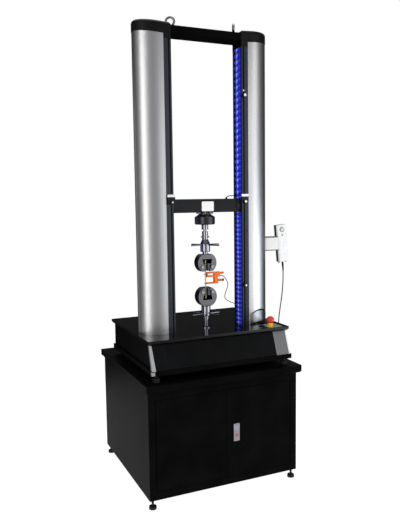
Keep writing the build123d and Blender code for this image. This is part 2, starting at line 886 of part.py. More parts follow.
# Stop flags on the crosshead's front, standing before the strips' T-slots
flag_back_y = strip_front_y - flag_step
flag_front_y = flag_back_y - flag_thickness
flag_foot_x = column_inner_x - 25.0
with BuildPart() as stop_flags:
    block(
        (flag_foot_x, -crosshead_half_depth - flag_thickness, crosshead_bottom_z + 20),
        (column_inner_x - seat_gap, -crosshead_half_depth, crosshead_top_z - 3),
    )
    block(
        (column_inner_x - 6, flag_front_y, flag_top_z - flag_height),
        (column_inner_x - seat_gap, -crosshead_half_depth, crosshead_top_z - 3),
    )
    block(
        (column_inner_x - 6, flag_front_y, flag_top_z - flag_height),
        (flag_outer_x, flag_back_y, flag_top_z),
    )
    rod(
        (tee_x, flag_front_y - knob_depth, flag_top_z - 40), (tee_x, flag_front_y, flag_top_z - 40),
        knob_radius,
    )
    mirror(about=Plane.YZ)
save(stop_flags, "stop_flags")


# Bellows: pleated sheets standing in the columns' slots
def make_bellows(side, bottom_z, top_z, folds):
    """One pleated cover, a zigzag band between two flat end plates."""
    near = column_inner_x + bellows_inner_gap
    pitch = (top_z - bottom_z - 2 * bellows_end) / folds
    start_z = bottom_z + bellows_end
    edge = [(near, start_z)]
    for k in range(folds):
        edge.append((near + bellows_depth, start_z + pitch * (k + 0.5)))
        edge.append((near, start_z + pitch * (k + 1)))
    back = [(x + bellows_sheet, z) for x, z in reversed(edge)]
    with BuildPart() as bellows:
        with BuildSketch(Plane.XZ.offset(2 - slot_back_y)):
            with BuildLine():
                Polyline(*[(side * x, z) for x, z in edge + back], close=True)
            make_face()
        extrude(amount=slot_back_y - slot_front_y - 4)
        for low in (bottom_z, top_z - bellows_end):
            low_x, high_x = sorted((side * near, side * (near + bellows_depth)))
            block((low_x, slot_front_y + 2, low), (high_x, slot_back_y - 2, low + bellows_end))
    return bellows


for side, word in ((-1, "left"), (1, "right")):
    save(make_bellows(side, 0.0, crosshead_bottom_z, lower_folds), f"{word}_lower_bellows")
    save(make_bellows(side, crosshead_top_z, beam_bottom_z, upper_folds), f"{word}_upper_bellows")

# Load cell under the crosshead
cell_bottom_z = crosshead_bottom_z - load_cell_height
with BuildPart() as load_cell:
    turned([
        (0, crosshead_bottom_z),
        (load_cell_neck_radius, crosshead_bottom_z),
        (load_cell_neck_radius, crosshead_bottom_z - load_cell_neck),
        (load_cell_radius, crosshead_bottom_z - load_cell_neck - load_cell_shoulder),
        (load_cell_radius, cell_bottom_z + load_cell_chamfer),
        (load_cell_radius - load_cell_chamfer, cell_bottom_z),
        (0, cell_bottom_z),
    ])
save(load_cell, "load_cell")

# Upper coupling: flange, neck, sleeve with a cross pin, cone and the threaded rod of the grip
flange_bottom_z = cell_bottom_z - coupling_flange
sleeve_top_z = flange_bottom_z - coupling_neck
sleeve_bottom_z = sleeve_top_z - sleeve_height
cone_bottom_z = sleeve_bottom_z - cone_height
upper_grip_top_z = upper_grip_centre_z + upper_grip_flat
pin_z = sleeve_bottom_z + 14
with BuildPart() as upper_coupling:
    turned([
        (0, cell_bottom_z),
        (coupling_flange_radius, cell_bottom_z),
        (coupling_flange_radius, flange_bottom_z),
        (coupling_neck_radius, flange_bottom_z),
        (coupling_neck_radius, sleeve_top_z),
        (sleeve_radius, sleeve_top_z),
        (sleeve_radius, sleeve_bottom_z),
        (cone_radius, cone_bottom_z),
        (rod_neck_radius, cone_bottom_z),
        (rod_neck_radius, upper_grip_top_z),
        (0, upper_grip_top_z),
    ])
    rod((-sleeve_radius - 8, 0, pin_z), (sleeve_radius + 8, 0, pin_z), cross_pin_radius)
save(upper_coupling, "upper_coupling")


# Lock nuts with their tommy bars
def make_lock_nut(top_z, height, radius, bore, bar_z, reach):
    """A chamfered ring on the grip's rod with its radial bars."""
    with BuildPart() as nut:
        turned([
            (bore, top_z),
            (radius - 3, top_z),
            (radius, top_z - 3),
            (radius, top_z - height + 3),
            (radius - 3, top_z - height),
            (bore, top_z - height),
        ])
        for k in range(nut_bar_count):
            angle = math.radians(nut_turn + 360 / nut_bar_count * k)
            out = Vector(math.cos(angle), math.sin(angle), 0)
            start = out * (radius - 6) + Vector(0, 0, bar_z)
            end = out * reach + Vector(0, 0, bar_z)
            rod(tuple(start), tuple(end), nut_bar_radius)
    return nut


upper_nut_top_z = cone_bottom_z - seat_gap
upper_nut = make_lock_nut(
    upper_nut_top_z, upper_nut_height, upper_nut_radius, rod_neck_radius + running_fit,
    upper_nut_top_z - 8, upper_nut_reach,
)
save(upper_nut, "upper_lock_nut")


# Grip heads: a disc with flats and a wedge pocket open to the front and back
def make_grip(centre_z, flat, direction):
    """A grip head, walled at the back, whose pocket opens along direction, +1 up or -1 down."""
    mouth_z = centre_z + direction * flat
    pocket_z = mouth_z - direction * pocket_depth
    with BuildPart() as grip:
        with BuildSketch(Plane.XZ.offset(-grip_half_depth)):
            with Locations((0, centre_z)):
                Circle(grip_radius)
                Rectangle(2 * grip_radius, 2 * flat, mode=Mode.INTERSECT)
        extrude(amount=2 * grip_half_depth)
        chamfer(grip.faces().filter_by(Axis.Y).edges(), grip_chamfer)
        with BuildSketch(Plane.XZ.offset(pocket_back_wall - grip_half_depth)):
            with BuildLine():
                Polyline(
                    (-pocket_mouth, mouth_z), (pocket_mouth, mouth_z),
                    (pocket_end, pocket_z), (-pocket_end, pocket_z),
                    close=True,
                )
            make_face()
        extrude(amount=2 * grip_half_depth + 1 - pocket_back_wall, mode=Mode.SUBTRACT)
        for side in (-1, 1):
            x = side * grip_bolt_x
            bolt_z = mouth_z - direction * grip_bolt_rise
            rod((x, -grip_half_depth - grip_bolt_height, bolt_z), (x, -grip_half_depth, bolt_z), grip_bolt_radius)
    return grip


save(make_grip(upper_grip_centre_z, upper_grip_flat, -1), "upper_grip_body")
save(make_grip(lower_grip_centre_z, lower_grip_flat, 1), "lower_grip_body")


# Wedge jaws with a toothed face, 0.3 mm off the specimen and the pocket's wall
def make_jaw(side, centre_z, flat, direction):
    """One wedge jaw; its back follows the pocket's slanted wall."""
    mouth_z = centre_z + direction * flat
    slope = (pocket_end - pocket_mouth) / pocket_depth
    face_x = specimen_radius + seat_gap
    near_back = pocket_mouth + slope * jaw_inset - seat_gap
    far_back = near_back + slope * jaw_height
    points = [(near_back, jaw_inset), (far_back, jaw_inset + jaw_height)]
    tooth = jaw_height / jaw_teeth
    for k in range(jaw_teeth, 0, -1):
        points.append((face_x, jaw_inset + tooth * k))
        points.append((face_x + tooth_depth, jaw_inset + tooth * (k - 0.5)))
    points.append((face_x, jaw_inset))
    with BuildPart() as jaw:
        with BuildSketch(Plane.XZ.offset(-jaw_half_depth)):
            with BuildLine():
                Polyline(*[(side * x, mouth_z - direction * d) for x, d in points], close=True)
            make_face()
        extrude(amount=2 * jaw_half_depth)
    return jaw


for side, word in ((-1, "left"), (1, "right")):
    save(make_jaw(side, upper_grip_centre_z, upper_grip_flat, -1), f"upper_{word}_jaw")
    save(make_jaw(side, lower_grip_centre_z, lower_grip_flat, 1), f"lower_{word}_jaw")

# Lower stem and lock nut
lower_grip_bottom_z = lower_grip_centre_z - lower_grip_flat
lower_nut_top_z = lower_grip_bottom_z - seat_gap
lower_nut_bottom_z = lower_nut_top_z - lower_nut_height
collar_top_z = lower_nut_bottom_z - seat_gap
with BuildPart() as lower_stem:
    turned([
        (0, 0),
        (stem_flange_radius, 0),
        (stem_flange_radius, stem_flange),
        (stem_radius, stem_flange),
        (stem_radius, stem_collar_bottom),
        (stem_collar_radius, stem_collar_bottom),
        (stem_collar_radius, collar_top_z),
        (stem_radius, collar_top_z),
        (stem_radius, lower_grip_bottom_z),
        (0, lower_grip_bottom_z),
    ])
save(lower_stem, "lower_stem")
lower_nut = make_lock_nut(
    lower_nut_top_z, lower_nut_height, lower_nut_radius, stem_radius + running_fit,
    lower_nut_bottom_z + 9, lower_nut_reach,
)
save(lower_nut, "lower_lock_nut")

with BuildPart() as specimen:
    rod((0, 0, specimen_bottom_z), (0, 0, specimen_top_z), specimen_radius)
save(specimen, "specimen")

# Extensometer: twin upper arms, body and upright in one, with the sliding lower arm apart
knife_lower_z = knife_upper_z - gauge_length
knife_x = specimen_radius + seat_gap
body_top_z = knife_upper_z + body_height / 2 - 3
body_bottom_z = body_top_z - body_height
arm_top_z = knife_lower_z + extensometer_arm_height / 2
with BuildPart() as extensometer_body:
    block((knife_x, -body_half_depth, body_bottom_z), (body_end_x, body_half_depth, body_top_z))
    block(
        (knife_x + 8, -body_half_depth - 1, body_bottom_z + 8),
        (arm_reach, body_half_depth + 1, body_top_z - 8),
        mode=Mode.SUBTRACT,
    )
    block(
        (arm_reach, -body_half_depth, arm_top_z + seat_gap),
        (upright_end_x, body_half_depth, body_bottom_z),
    )
    rod((body_end_x, 0, body_top_z - 8), (stub_end_x, 0, body_top_z - 8), stub_radius)
    rod((upright_end_x, 0, arm_top_z + 9), (stub_end_x, 0, arm_top_z + 9), stub_radius)
save(extensometer_body, "extensometer_body")

with BuildPart() as extensometer_arm:
    block(
        (knife_x, -body_half_depth, arm_top_z - extensometer_arm_height),
        (upright_end_x, body_half_depth, arm_top_z),
    )
save(extensometer_arm, "extensometer_arm")


# Cords: straight runs joined by arcs as large as the two runs allow
def cord(route, diameter, name):
    """A plain round cord along its route; prints each bend's radius."""
    points = [Vector(*p) for p in route]
    radii = []
    for before, here, after in zip(points, points[1:], points[2:]):
        half_turn = math.radians((here - before).get_angle(after - here)) / 2
        shorter = min((here - before).length, (after - here).length)
        radii.append(0.45 * shorter / math.tan(half_turn))
    print(name, "bend radii", [round(r, 1) for r in radii])
    with BuildPart() as tube:
        with BuildLine() as path:
            FilletPolyline(*points, radius=radii)
        with BuildSketch(Plane(origin=points[0], z_dir=points[1] - points[0])):
            Circle(diameter / 2)
        sweep()
    length = path.wire().length
    tube_ratio = tube.part.volume / (math.pi * diameter**2 / 4 * length)
    print(name, "length", round(length, 1), "volume ratio", round(tube_ratio, 4))
    return tube


socket_x = 300.0
socket_y = 170.0
cord_exit_z = body_bottom_z + 5
extensometer_route = [
    (body_end_x, 0.0, cord_exit_z),
    (body_end_x + 20, 0.0, cord_exit_z),
    (122.0, 5.0, 264.0),
    (138.0, 13.0, 246.0),
    (149.0, 23.0, 224.0),
    (148.0, 36.0, 198.0),
    (143.0, 50.0, 170.0),
    (147.0, 65.0, 146.0),
    (166.0, 83.0, 127.0),
    (196.0, 104.0, 111.0),
    (230.0, 126.0, 98.0),
    (264.0, 148.0, 80.0),
    (290.0, 164.0, 56.0),
    (socket_x, socket_y, socket_height + 20),
    (socket_x, socket_y, socket_height),
]
save(cord(extensometer_route, extensometer_cord, "extensometer_cable"), "extensometer_cable")

lean = math.radians(handset_lean)
handset_up = Vector(-math.sin(lean), 0, math.cos(lean))
handset_right = Vector(math.cos(lean), 0, math.sin(lean))
handset_centre = Vector(handset_x, handset_y, handset_z)
relief_end = handset_centre - handset_up * (handset_height / 2 + relief_length)
gland_z = -86.0
gland_end_x = housing_width / 2 + gland_length
cord_top = relief_end - handset_up * seat_gap
handset_route = [
    tuple(cord_top),
    tuple(cord_top - handset_up * 50),
    (504.0, 18.0, 200.0),
    (494.0, 14.0, 130.0),
    (480.0, 10.0, 64.0),
    (468.0, 4.0, 12.0),
    (463.0, 0.0, -30.0),
    (459.0, 0.0, -55.0),
    (444.0, 0.0, -75.0),
    (gland_end_x + 22, 0.0, gland_z),
    (gland_end_x, 0.0, gland_z),
]
save(cord(handset_route, handset_cord, "handset_cable"), "handset_cable")

# Socket on the table and gland on the base's side, where the two cords end
with BuildPart() as cable_glands:
    rod((socket_x, socket_y, 0), (socket_x, socket_y, socket_height), socket_radius)
    rod(
        (housing_width / 2, 0, gland_z), (gland_end_x, 0, gland_z),
        gland_radius,
    )
save(cable_glands, "cable_glands")

# Handset, its dial and the bracket on the right cover
handset_plane = Plane(origin=handset_centre, x_dir=handset_right, z_dir=handset_up)
front_y = handset_y - handset_depth / 2
with BuildPart() as handset_body:
    with BuildSketch(handset_plane.offset(-handset_height / 2)):
        RectangleRounded(handset_width, handset_depth, handset_round)
    extrude(amount=handset_height)
    rod(
        tuple(relief_end), tuple(handset_centre - handset_up * (handset_height / 2 - 1)),
        relief_radius,
    )
save(handset_body, "handset_body")

dial_centre = handset_centre + handset_up * dial_up
dial_front = Vector(dial_centre.X, front_y - seat_gap - dial_proud, dial_centre.Z)
dial_back = Vector(dial_centre.X, front_y - seat_gap, dial_centre.Z)
with BuildPart() as handset_dial:
    rod(tuple(dial_front), tuple(dial_back), dial_radius)
    chamfer(handset_dial.faces().sort_by(Axis.Y)[0].edges(), 1)
save(handset_dial, "handset_dial")

bracket_left_x = cover_centre_x + cover_radius_x * 0.9
with BuildPart() as handset_bracket:
    block(
        (bracket_left_x, handset_y - bracket_width / 2, handset_z - bracket_height / 2),
        (handset_x, handset_y + bracket_width / 2, handset_z + bracket_height / 2),
    )
    with BuildSketch(Plane.XY.offset(handset_z - bracket_height)):
        with Locations((cover_centre_x, cover_centre_y)):
            Ellipse(cover_radius_x, cover_radius_y)
    extrude(amount=2 * bracket_height, mode=Mode.SUBTRACT)
    with BuildSketch(handset_plane.offset(-handset_height)):
        with Locations((-handset_width / 2 - seat_gap, 0)):
            Rectangle(2 * handset_width, 2 * handset_depth + bracket_width, align=(Align.MIN, Align.CENTER))
    extrude(amount=2 * handset_height, mode=Mode.SUBTRACT)
save(handset_bracket, "handset_bracket")

# Emergency stop: collar with a stem bore, and the mushroom head that pushes down
stem_bottom = 4.0
with BuildPart() as estop_collar:
    rod((stop_x, stop_y, 0), (stop_x, stop_y, stop_collar_height), stop_collar_radius)
    rod(
        (stop_x, stop_y, stem_bottom), (stop_x, stop_y, stop_collar_height + 1),
        stop_stem_radius + running_fit, Mode.SUBTRACT,
    )
save(estop_collar, "estop_collar")

head_top_z = stop_head_bottom + stop_head_height
stop_travel = stop_head_bottom - stop_collar_height
with BuildPart() as estop_head:
    with BuildSketch(Plane.XZ):
        with BuildLine():
            Polyline(
                (0, stem_bottom + stop_travel), (stop_stem_radius, stem_bottom + stop_travel),
                (stop_stem_radius, stop_head_bottom), (stop_head_radius - 3, stop_head_bottom),
                (stop_head_radius, stop_head_bottom + 5),
                (stop_head_radius, head_top_z - 10), (stop_head_radius - 4, head_top_z - 4),
                (stop_head_radius - 10, head_top_z), (0, head_top_z),
                close=True,
            )
        make_face()
    revolve(axis=Axis.Z)
estop_head.part.locate(Location((stop_x, stop_y, 0)))
save(estop_head, "estop_head")

with BuildPart() as power_button:
    rod((button_x, button_y, -button_stem), (button_x, button_y, button_proud), button_radius)
    chamfer(power_button.faces().sort_by(Axis.Z)[-1].edges(), 1)
save(power_button, "power_button")


# Limit stops: a block before the right strip, a T-shaped foot in its slot and a knob
def make_limit_stop(centre_z):
    """One limit stop at the given height on the right column's front strip."""
    half = stop_block_height / 2
    front = strip_front_y - seat_gap
    with BuildPart() as stop:
        block((tee_x - 10, front - 6, centre_z - half), (tee_x + 10, front, centre_z + half))
        block(
            (tee_x - tee_mouth / 2 + seat_gap, front, centre_z - half),
            (tee_x + tee_mouth / 2 - seat_gap, strip_front_y + tee_lip + seat_gap, centre_z + half),
        )
        block(
            (tee_x - tee_width / 2 + seat_gap, strip_front_y + tee_lip + seat_gap, centre_z - half),
            (tee_x + tee_width / 2 - seat_gap, strip_front_y + tee_lip + tee_depth - seat_gap,
             centre_z + half),
        )
        rod((tee_x, front - 6 - knob_depth, centre_z), (tee_x, front - 6, centre_z), knob_radius)
    return stop


save(make_limit_stop(upper_stop_z), "upper_limit_stop")
save(make_limit_stop(lower_stop_z), "lower_limit_stop")
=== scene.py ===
import math

import bpy
import numpy as np
from bpy.props import FloatProperty, FloatVectorProperty, IntProperty, PointerProperty
from mathutils import Matrix, Vector


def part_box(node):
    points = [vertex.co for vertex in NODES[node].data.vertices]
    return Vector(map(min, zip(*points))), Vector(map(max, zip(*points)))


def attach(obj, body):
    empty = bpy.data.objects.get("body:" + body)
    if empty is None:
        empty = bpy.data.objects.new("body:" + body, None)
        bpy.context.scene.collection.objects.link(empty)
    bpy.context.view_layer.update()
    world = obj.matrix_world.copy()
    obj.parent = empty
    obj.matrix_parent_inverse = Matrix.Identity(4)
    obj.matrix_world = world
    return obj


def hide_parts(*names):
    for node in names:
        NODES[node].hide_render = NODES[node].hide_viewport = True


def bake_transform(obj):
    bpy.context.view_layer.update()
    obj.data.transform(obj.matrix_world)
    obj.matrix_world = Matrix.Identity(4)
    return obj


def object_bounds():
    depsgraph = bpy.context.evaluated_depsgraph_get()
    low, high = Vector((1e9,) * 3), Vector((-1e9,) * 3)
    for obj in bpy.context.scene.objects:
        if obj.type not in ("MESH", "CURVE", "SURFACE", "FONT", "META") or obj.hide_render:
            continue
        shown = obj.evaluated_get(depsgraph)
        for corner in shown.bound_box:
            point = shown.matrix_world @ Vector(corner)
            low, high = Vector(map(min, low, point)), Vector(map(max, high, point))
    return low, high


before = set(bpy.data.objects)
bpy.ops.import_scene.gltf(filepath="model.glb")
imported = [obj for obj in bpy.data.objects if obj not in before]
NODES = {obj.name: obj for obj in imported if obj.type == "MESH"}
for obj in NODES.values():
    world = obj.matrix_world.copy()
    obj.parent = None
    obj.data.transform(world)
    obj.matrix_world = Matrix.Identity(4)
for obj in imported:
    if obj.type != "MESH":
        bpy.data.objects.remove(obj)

bl_info = {
    "name": "Universal testing machine",
    "version": (1, 0, 0),
    "blender": (4, 5, 0),
    "location": "3D View > Sidebar > Testing machine",
    "description": "Finishes and details on the frame of a twin-column testing machine",
    "category": "Object",
}

CAD_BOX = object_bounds()
MM = 0.001

# Directions: the machine's front faces -Y, and the photograph was taken from its front left
FRONT = (0, -1, 0)
BACK = (0, 1, 0)
ACROSS = (1, 0, 0)
UP = (0, 0, 1)
DOWN = (0, 0, -1)
LINE_OF_SIGHT = (0.407, 0.913, 0.0)

# Places in mm, as the solids have them
COVER_CENTRE = (260.0, 22.0)
COVER_RADII = (121.0, 76.0)
STRIP_FRONT = -54.0
TEE_X = 213.0
KNOB_FACE = -72.0
STOP_KNOB_FACE = -70.2
GRIP_FRONT = -26.5
HANDSET_CENTRE = Vector((494.0, 22.0, 442.0))
HANDSET_UP = Vector((-0.087156, 0, 0.996195))
HANDSET_RIGHT = Vector((0.996195, 0, 0.087156))


# Colour and materials
def srgb(code):
    """An sRGB hex colour as linear red, green, blue and alpha."""
    channels = [int(code[i:i + 2], 16) / 255 for i in (0, 2, 4)]
    linear = [c / 12.92 if c <= 0.04045 else ((c + 0.055) / 1.055) ** 2.4 for c in channels]
    return (*linear, 1.0)


def chosen(key):
    """The colour that the user has chosen for a part, as linear red, green, blue and alpha."""
    return (*getattr(bpy.context.scene.machine_colours, key), 1.0)


def add_node(tree, kind, settings=None, links=None):
    """Add a node; settings go to its properties, ramp stops or sockets, links feed its inputs."""
    node = tree.nodes.new(kind)
    for key, value in (settings or {}).items():
        if key == "stops":
            while len(node.color_ramp.elements) < len(value):
                node.color_ramp.elements.new(0.5)
            for element, (position, colour) in zip(node.color_ramp.elements, value):
                element.position = position
                element.color = colour
        elif isinstance(key, str) and hasattr(node, key):
            setattr(node, key, value)
        else:
            node.inputs[key].default_value = value
    for key, source in (links or {}).items():
        tree.links.new(source, node.inputs[key])
    return node


def emptied(owner):
    """The node tree of a material or a world, switched on and emptied."""
    owner.use_nodes = True
    owner.node_tree.nodes.clear()
    return owner.node_tree


def finish(name, dark, light, roughness, spread, grain_mm, bump=0.1, metallic=0.0, specular=0.5,
           coat=0.0, stretch=(1, 1, 1), edge=None, patches=(), own=None, painted_glints=()):
    """A finish whose colour and roughness drift with a slow noise and whose grain stands out.

    Colour runs from dark to light, and roughness from roughness to roughness plus spread, both
    with the same noise. A second noise at the grain's size in mm gives the bump; the grain of a
    brushed, ground or cast surface is finer than 0.5 mm and is drawn that coarse or coarser, to
    show at all. A colour of the user's own takes the place of light and moves dark with it.
    Glints are further (position, colour) stops, and with them the colour follows the surface's
    glint attribute instead of the noise. Each patch is (axis, low, high, colour, metallic) in
    mm: between the two planes square to the axis the finish has that colour and that metallic
    level."""
    dark, light = srgb(dark), srgb(light)
    if own:
        dark = tuple(shade * new / old for shade, new, old in zip(dark, own, light))
        light = own
    result = bpy.data.materials.new(name)
    tree = emptied(result)
    coordinates = add_node(tree, "ShaderNodeTexCoord").outputs["Object"]
    place = add_node(
        tree, "ShaderNodeMapping", {"Scale": stretch}, {"Vector": coordinates}
    ).outputs["Vector"]
    drift = add_node(
        tree, "ShaderNodeTexNoise", {"Scale": 9.0, "Detail": 3.0}, {"Vector": place}
    ).outputs["Fac"]
    # With painted glints the colour carries painted light: painted shade in the folds at the dark
    # end of the ramp, painted highlights on the ridges and along a glint line at the light end
    if painted_glints:
        stops = [(0.0, dark), (0.3, light), *painted_glints]
        along = add_node(tree, "ShaderNodeAttribute", {"attribute_name": "glint"}).outputs["Fac"]
    else:
        stops = [(0.3, dark), (0.7, light)]
        along = drift
    colour = add_node(
        tree, "ShaderNodeValToRGB", {"stops": stops}, {"Fac": along}
    ).outputs["Color"]
    rough = add_node(
        tree, "ShaderNodeMapRange", {"To Min": roughness, "To Max": roughness + spread},
        {"Value": drift},
    ).outputs["Result"]
    grain = add_node(
        tree, "ShaderNodeTexNoise", {"Scale": 1000.0 / grain_mm, "Detail": 2.0}, {"Vector": place}
    ).outputs["Fac"]
    relief = add_node(
        tree, "ShaderNodeBump", {"Strength": bump, "Distance": 0.0003}, {"Height": grain}
    ).outputs["Normal"]
    shader = add_node(tree, "ShaderNodeBsdfPrincipled", {
        "Metallic": metallic, "Specular IOR Level": specular, "Coat Weight": coat,
        "Coat Roughness": 0.08,
    }, {"Roughness": rough, "Normal": relief})
    if edge:
        shader.inputs["Specular Tint"].default_value = srgb(edge)
    # On a Mix node, sockets 2 and 3 are its numbers A and B, and 6 and 7 its colours A and B
    metal = None
    for axis, low, high, patch_colour, level in patches:
        height = add_node(
            tree, "ShaderNodeSeparateXYZ", {}, {"Vector": coordinates}
        ).outputs[axis]
        inside = add_node(tree, "ShaderNodeMath", {
            "operation": "COMPARE", 1: (low + high) / 2 * MM, 2: (high - low) / 2 * MM,
        }, {0: height}).outputs[0]
        colour = add_node(
            tree, "ShaderNodeMix", {"data_type": "RGBA", 7: patch_colour}, {0: inside, 6: colour}
        ).outputs[2]
        if level != metallic:
            metal = add_node(
                tree, "ShaderNodeMix", {"data_type": "FLOAT", 2: metallic, 3: level},
                {0: inside} if metal is None else {0: inside, 2: metal},
            ).outputs[0]
            tree.links.new(metal, shader.inputs["Metallic"])
    tree.links.new(colour, shader.inputs["Base Color"])
    add_node(tree, "ShaderNodeOutputMaterial", {}, {"Surface": shader.outputs["BSDF"]})
    return result


def powder_coat():
    """Semi-gloss black polyester powder coat, sprayed and baked: faint orange peel that softens
    reflections."""
    return finish("powder_coat_black", "060607", "0c0c0d", 0.42, 0.08, 4.0, 0.12,
                  specular=0.015, own=chosen("coating"))


def crosshead_enamel():
    """Satin black stove enamel on the crosshead: a shade lighter than the powder coat."""
    return finish("stove_enamel_black", "17181b", "212327", 0.36, 0.06, 2.0, 0.06, specular=0.1)


def fascia_coat():
    """The same powder coat on the front, with its right end panel sprayed satin grey."""
    return finish("powder_coat_front", "090a0b", "101113", 0.42, 0.08, 4.0, 0.12, specular=0.06,
                  patches=[("X", 312.5, 400.0, chosen("end_panel"), 0.0)])


def stove_lacquer():
    """Black stove lacquer on the ground table: nearly a mirror that shows columns and grips."""
    return finish("stove_lacquer_black", "030304", "070708", 0.05, 0.04, 12.0, 0.02, specular=0.4)


def black_anodise():
    """Black anodised extrusion: metal sheen with fine draw lines along its length."""
    return finish("anodised_black_extrusion", "2e3135", "404449", 0.28, 0.08, 0.8, 0.06, 0.8, 0.2,
                  stretch=(1, 1, 0.01))


def silver_anodise():
    """Silver anodised aluminium sheet, brushed along its height: soft tall highlights, darker at
    its edges."""
    return finish("anodised_aluminium_brushed", "b7b8bb", "c2c3c6", 0.33, 0.05, 0.6, 0.04, 1.0,
                  stretch=(1, 1, 0.01), edge="6c6e74", own=chosen("covers"))


def moulded_cap():
    """Black ABS moulded with a fine spark texture: an even satin."""
    return finish("abs_black_satin", "0a0a0b", "121213", 0.4, 0.06, 0.7, 0.12, specular=0.14)


def black_steel():
    """Oil-blackened machined steel: dark grey with a turned sheen and worn, brighter drifts."""
    return finish("blackened_steel", "1d1e20", "37383b", 0.3, 0.12, 0.7, 0.05, 0.85)


def grip_steel():
    """Blackened grip body whose front is ground: a dark round side and a brighter, greyer face."""
    return finish("blackened_and_ground_steel", "0a0b0c", "16171a", 0.28, 0.12, 0.7, 0.05, 0.8,
                  0.3, patches=[("Y", -29.0, -25.9, srgb("6c6d70"), 0.9)])


def jaw_steel():
    """Hardened and ground jaw steel: a dull grey metal inside the dark grip."""
    return finish("hardened_jaw_steel", "3c3d41", "6b6c70", 0.35, 0.1, 0.6, 0.05, 0.9)


def ground_steel():
    """Ground and polished steel: bright, with fine grinding marks round its axis and darker
    edges."""
    return finish("ground_steel", "808186", "a3a4a9", 0.16, 0.08, 0.5, 0.03, 1.0,
                  stretch=(0.2, 0.2, 1), edge="2c2e34")


def zinc():
    """Bright zinc plate: slightly blue, with a milky drift."""
    return finish("bright_zinc", "6c6f72", "94989b", 0.22, 0.1, 1.0, 0.04, 1.0)


def white_zinc():
    """Fresh white zinc plate on knobs and small screws: pale and bright."""
    return finish("white_zinc_plate", "d9dadc", "eeeff0", 0.32, 0.1, 1.0, 0.03, 0.6)


def flag_steel():
    """Blackened flags and stop blocks whose knobs and top tabs are bright plated steel."""
    plated = srgb("e4e5e7")
    return finish("blackened_and_plated_steel", "121314", "1e1f21", 0.32, 0.1, 0.8, 0.05, 0.3,
                  0.25, patches=[("Z", 712.0, 726.0, plated, 0.6),
                                 ("Y", -80.0, -62.5, plated, 0.6)])


def cell_enamel():
    """Black satin enamel on the load cell and the motor."""
    return finish("enamel_black_satin", "101011", "1c1c1d", 0.24, 0.08, 1.5, 0.05)


def brass():
    """Turned brass specimen: pale, matt gold."""
    return finish("turned_brass", "b3a765", "dcd394", 0.3, 0.1, 0.5, 0.05, 0.7,
                  stretch=(0.2, 0.2, 1))


def orange_anodise():
    """Orange anodised aluminium: milled, then dyed, with a satin metal sheen."""
    return finish("orange_anodised_aluminium", "d65412", "ee7428", 0.32, 0.08, 0.6, 0.06, 0.35,
                  own=chosen("extensometer"))


def rubber():
    """Moulded black rubber: matt, slightly grey."""
    return finish("moulded_rubber", "0d0d0d", "1a1a1a", 0.55, 0.12, 0.9, 0.15, specular=0.25)


def cable_jacket():
    """Grey-black PVC cable jacket, extruded: a soft line of light along it."""
    return finish("pvc_jacket", "0d0e10", "181a1c", 0.42, 0.08, 0.6, 0.05, specular=0.2)


def red_plastic():
    """Gloss red polycarbonate moulding."""
    return finish("polycarbonate_red", "b81f16", "d83324", 0.22, 0.06, 1.5, 0.03,
                  own=chosen("stop_head"))


def yellow_plastic():
    """Gloss yellow polycarbonate moulding."""
    return finish("polycarbonate_yellow", "e0ab18", "f2c02a", 0.25, 0.06, 1.5, 0.03,
                  own=chosen("stop_collar"))


def black_plastic():
    """Gloss black button moulding."""
    return finish("abs_black_gloss", "0a0a0a", "161616", 0.22, 0.06, 1.5, 0.03, specular=0.35)


def grey_plastic():
    """Mid-grey ABS moulding: an even satin."""
    return finish("abs_grey_satin", "84868a", "96989b", 0.35, 0.06, 0.8, 0.08)


def pale_paint():
    """Pale grey wet paint on the dial: smooth, with a soft gloss."""
    return finish("wet_paint_pale_grey", "c9cac9", "d6d7d6", 0.36, 0.06, 1.2, 0.05)


def bracket_paint():
    """Pale wet paint on the folded bracket, with the shade of its folds at top and bottom."""
    shade = srgb("5c5d60")
    return finish("wet_paint_bracket", "e2e3e2", "ececeb", 0.36, 0.06, 1.2, 0.05,
                  patches=[("Z", 476.0, 483.0, shade, 0.0), ("Z", 401.0, 408.0, shade, 0.0)])


def white_plate():
    """Blank white plate: polyester film over aluminium, smooth and bright."""
    return finish("polyester_plate_white", "ececec", "f5f5f5", 0.32, 0.05, 1.5, 0.03)


def key_film():
    """Blank embossed polyester key film: very pale, slightly blue."""
    return finish("polyester_key_film", "e8e9f0", "f1f2f8", 0.3, 0.05, 1.5, 0.03)


def silver_plate():
    """Blank satin plate of brushed, clear anodised aluminium."""
    return finish("anodised_plate_satin", "b2b4b7", "c6c8cb", 0.3, 0.08, 0.8, 0.04, 0.9)


def handset_shells():
    """Two-shot ABS handset: a pale front shell and a dark rear shell, parted 12 mm behind the
    face."""
    return finish("abs_two_tone", "e9eaeb", "f2f3f4", 0.38, 0.06, 0.9, 0.08, own=chosen("handset"),
                  patches=[("Y", 14.0, 60.0, srgb("1f2022"), 0.0)])


def bellows_cloth():
    """Blue polyurethane-coated cloth, folded: deep blue, with painted shade in the folds and
    painted highlights on the ridges and along a zigzag glint line.
    """
    # Painted light: the darker valley colour is painted shade in the folds, and the ridge and
    # glint colours are painted highlights
    return finish("coated_cloth_blue", "0a12c0", "1428f4", 0.34, 0.06, 0.9, 0.1, coat=0.4,
                  own=chosen("bellows"),
                  painted_glints=[(0.7, chosen("bellows_ridge_highlight")), (1.0, chosen("bellows_glint"))])


made = {}


def material(maker):
    """The material of a finish, made the first time it is asked for."""
    if maker not in made:
        made[maker] = maker()
    return made[maker]


# Objects and meshes
def linked(name, data):
    """A new object of that data, linked to the scene."""
    piece = bpy.data.objects.new(name, data)
    bpy.context.scene.collection.objects.link(piece)
    return piece


def mesh_object(name, points, faces):
    """A smooth-shaded mesh object from an array of points in mm and a list of faces."""
    mesh = bpy.data.meshes.new(name)
    mesh.from_pydata((np.asarray(points, float).reshape(-1, 3) * MM).tolist(), [], faces)
    mesh.polygons.foreach_set("use_smooth", np.ones(len(mesh.polygons), bool))
    mesh.update()
    return linked(name, mesh)


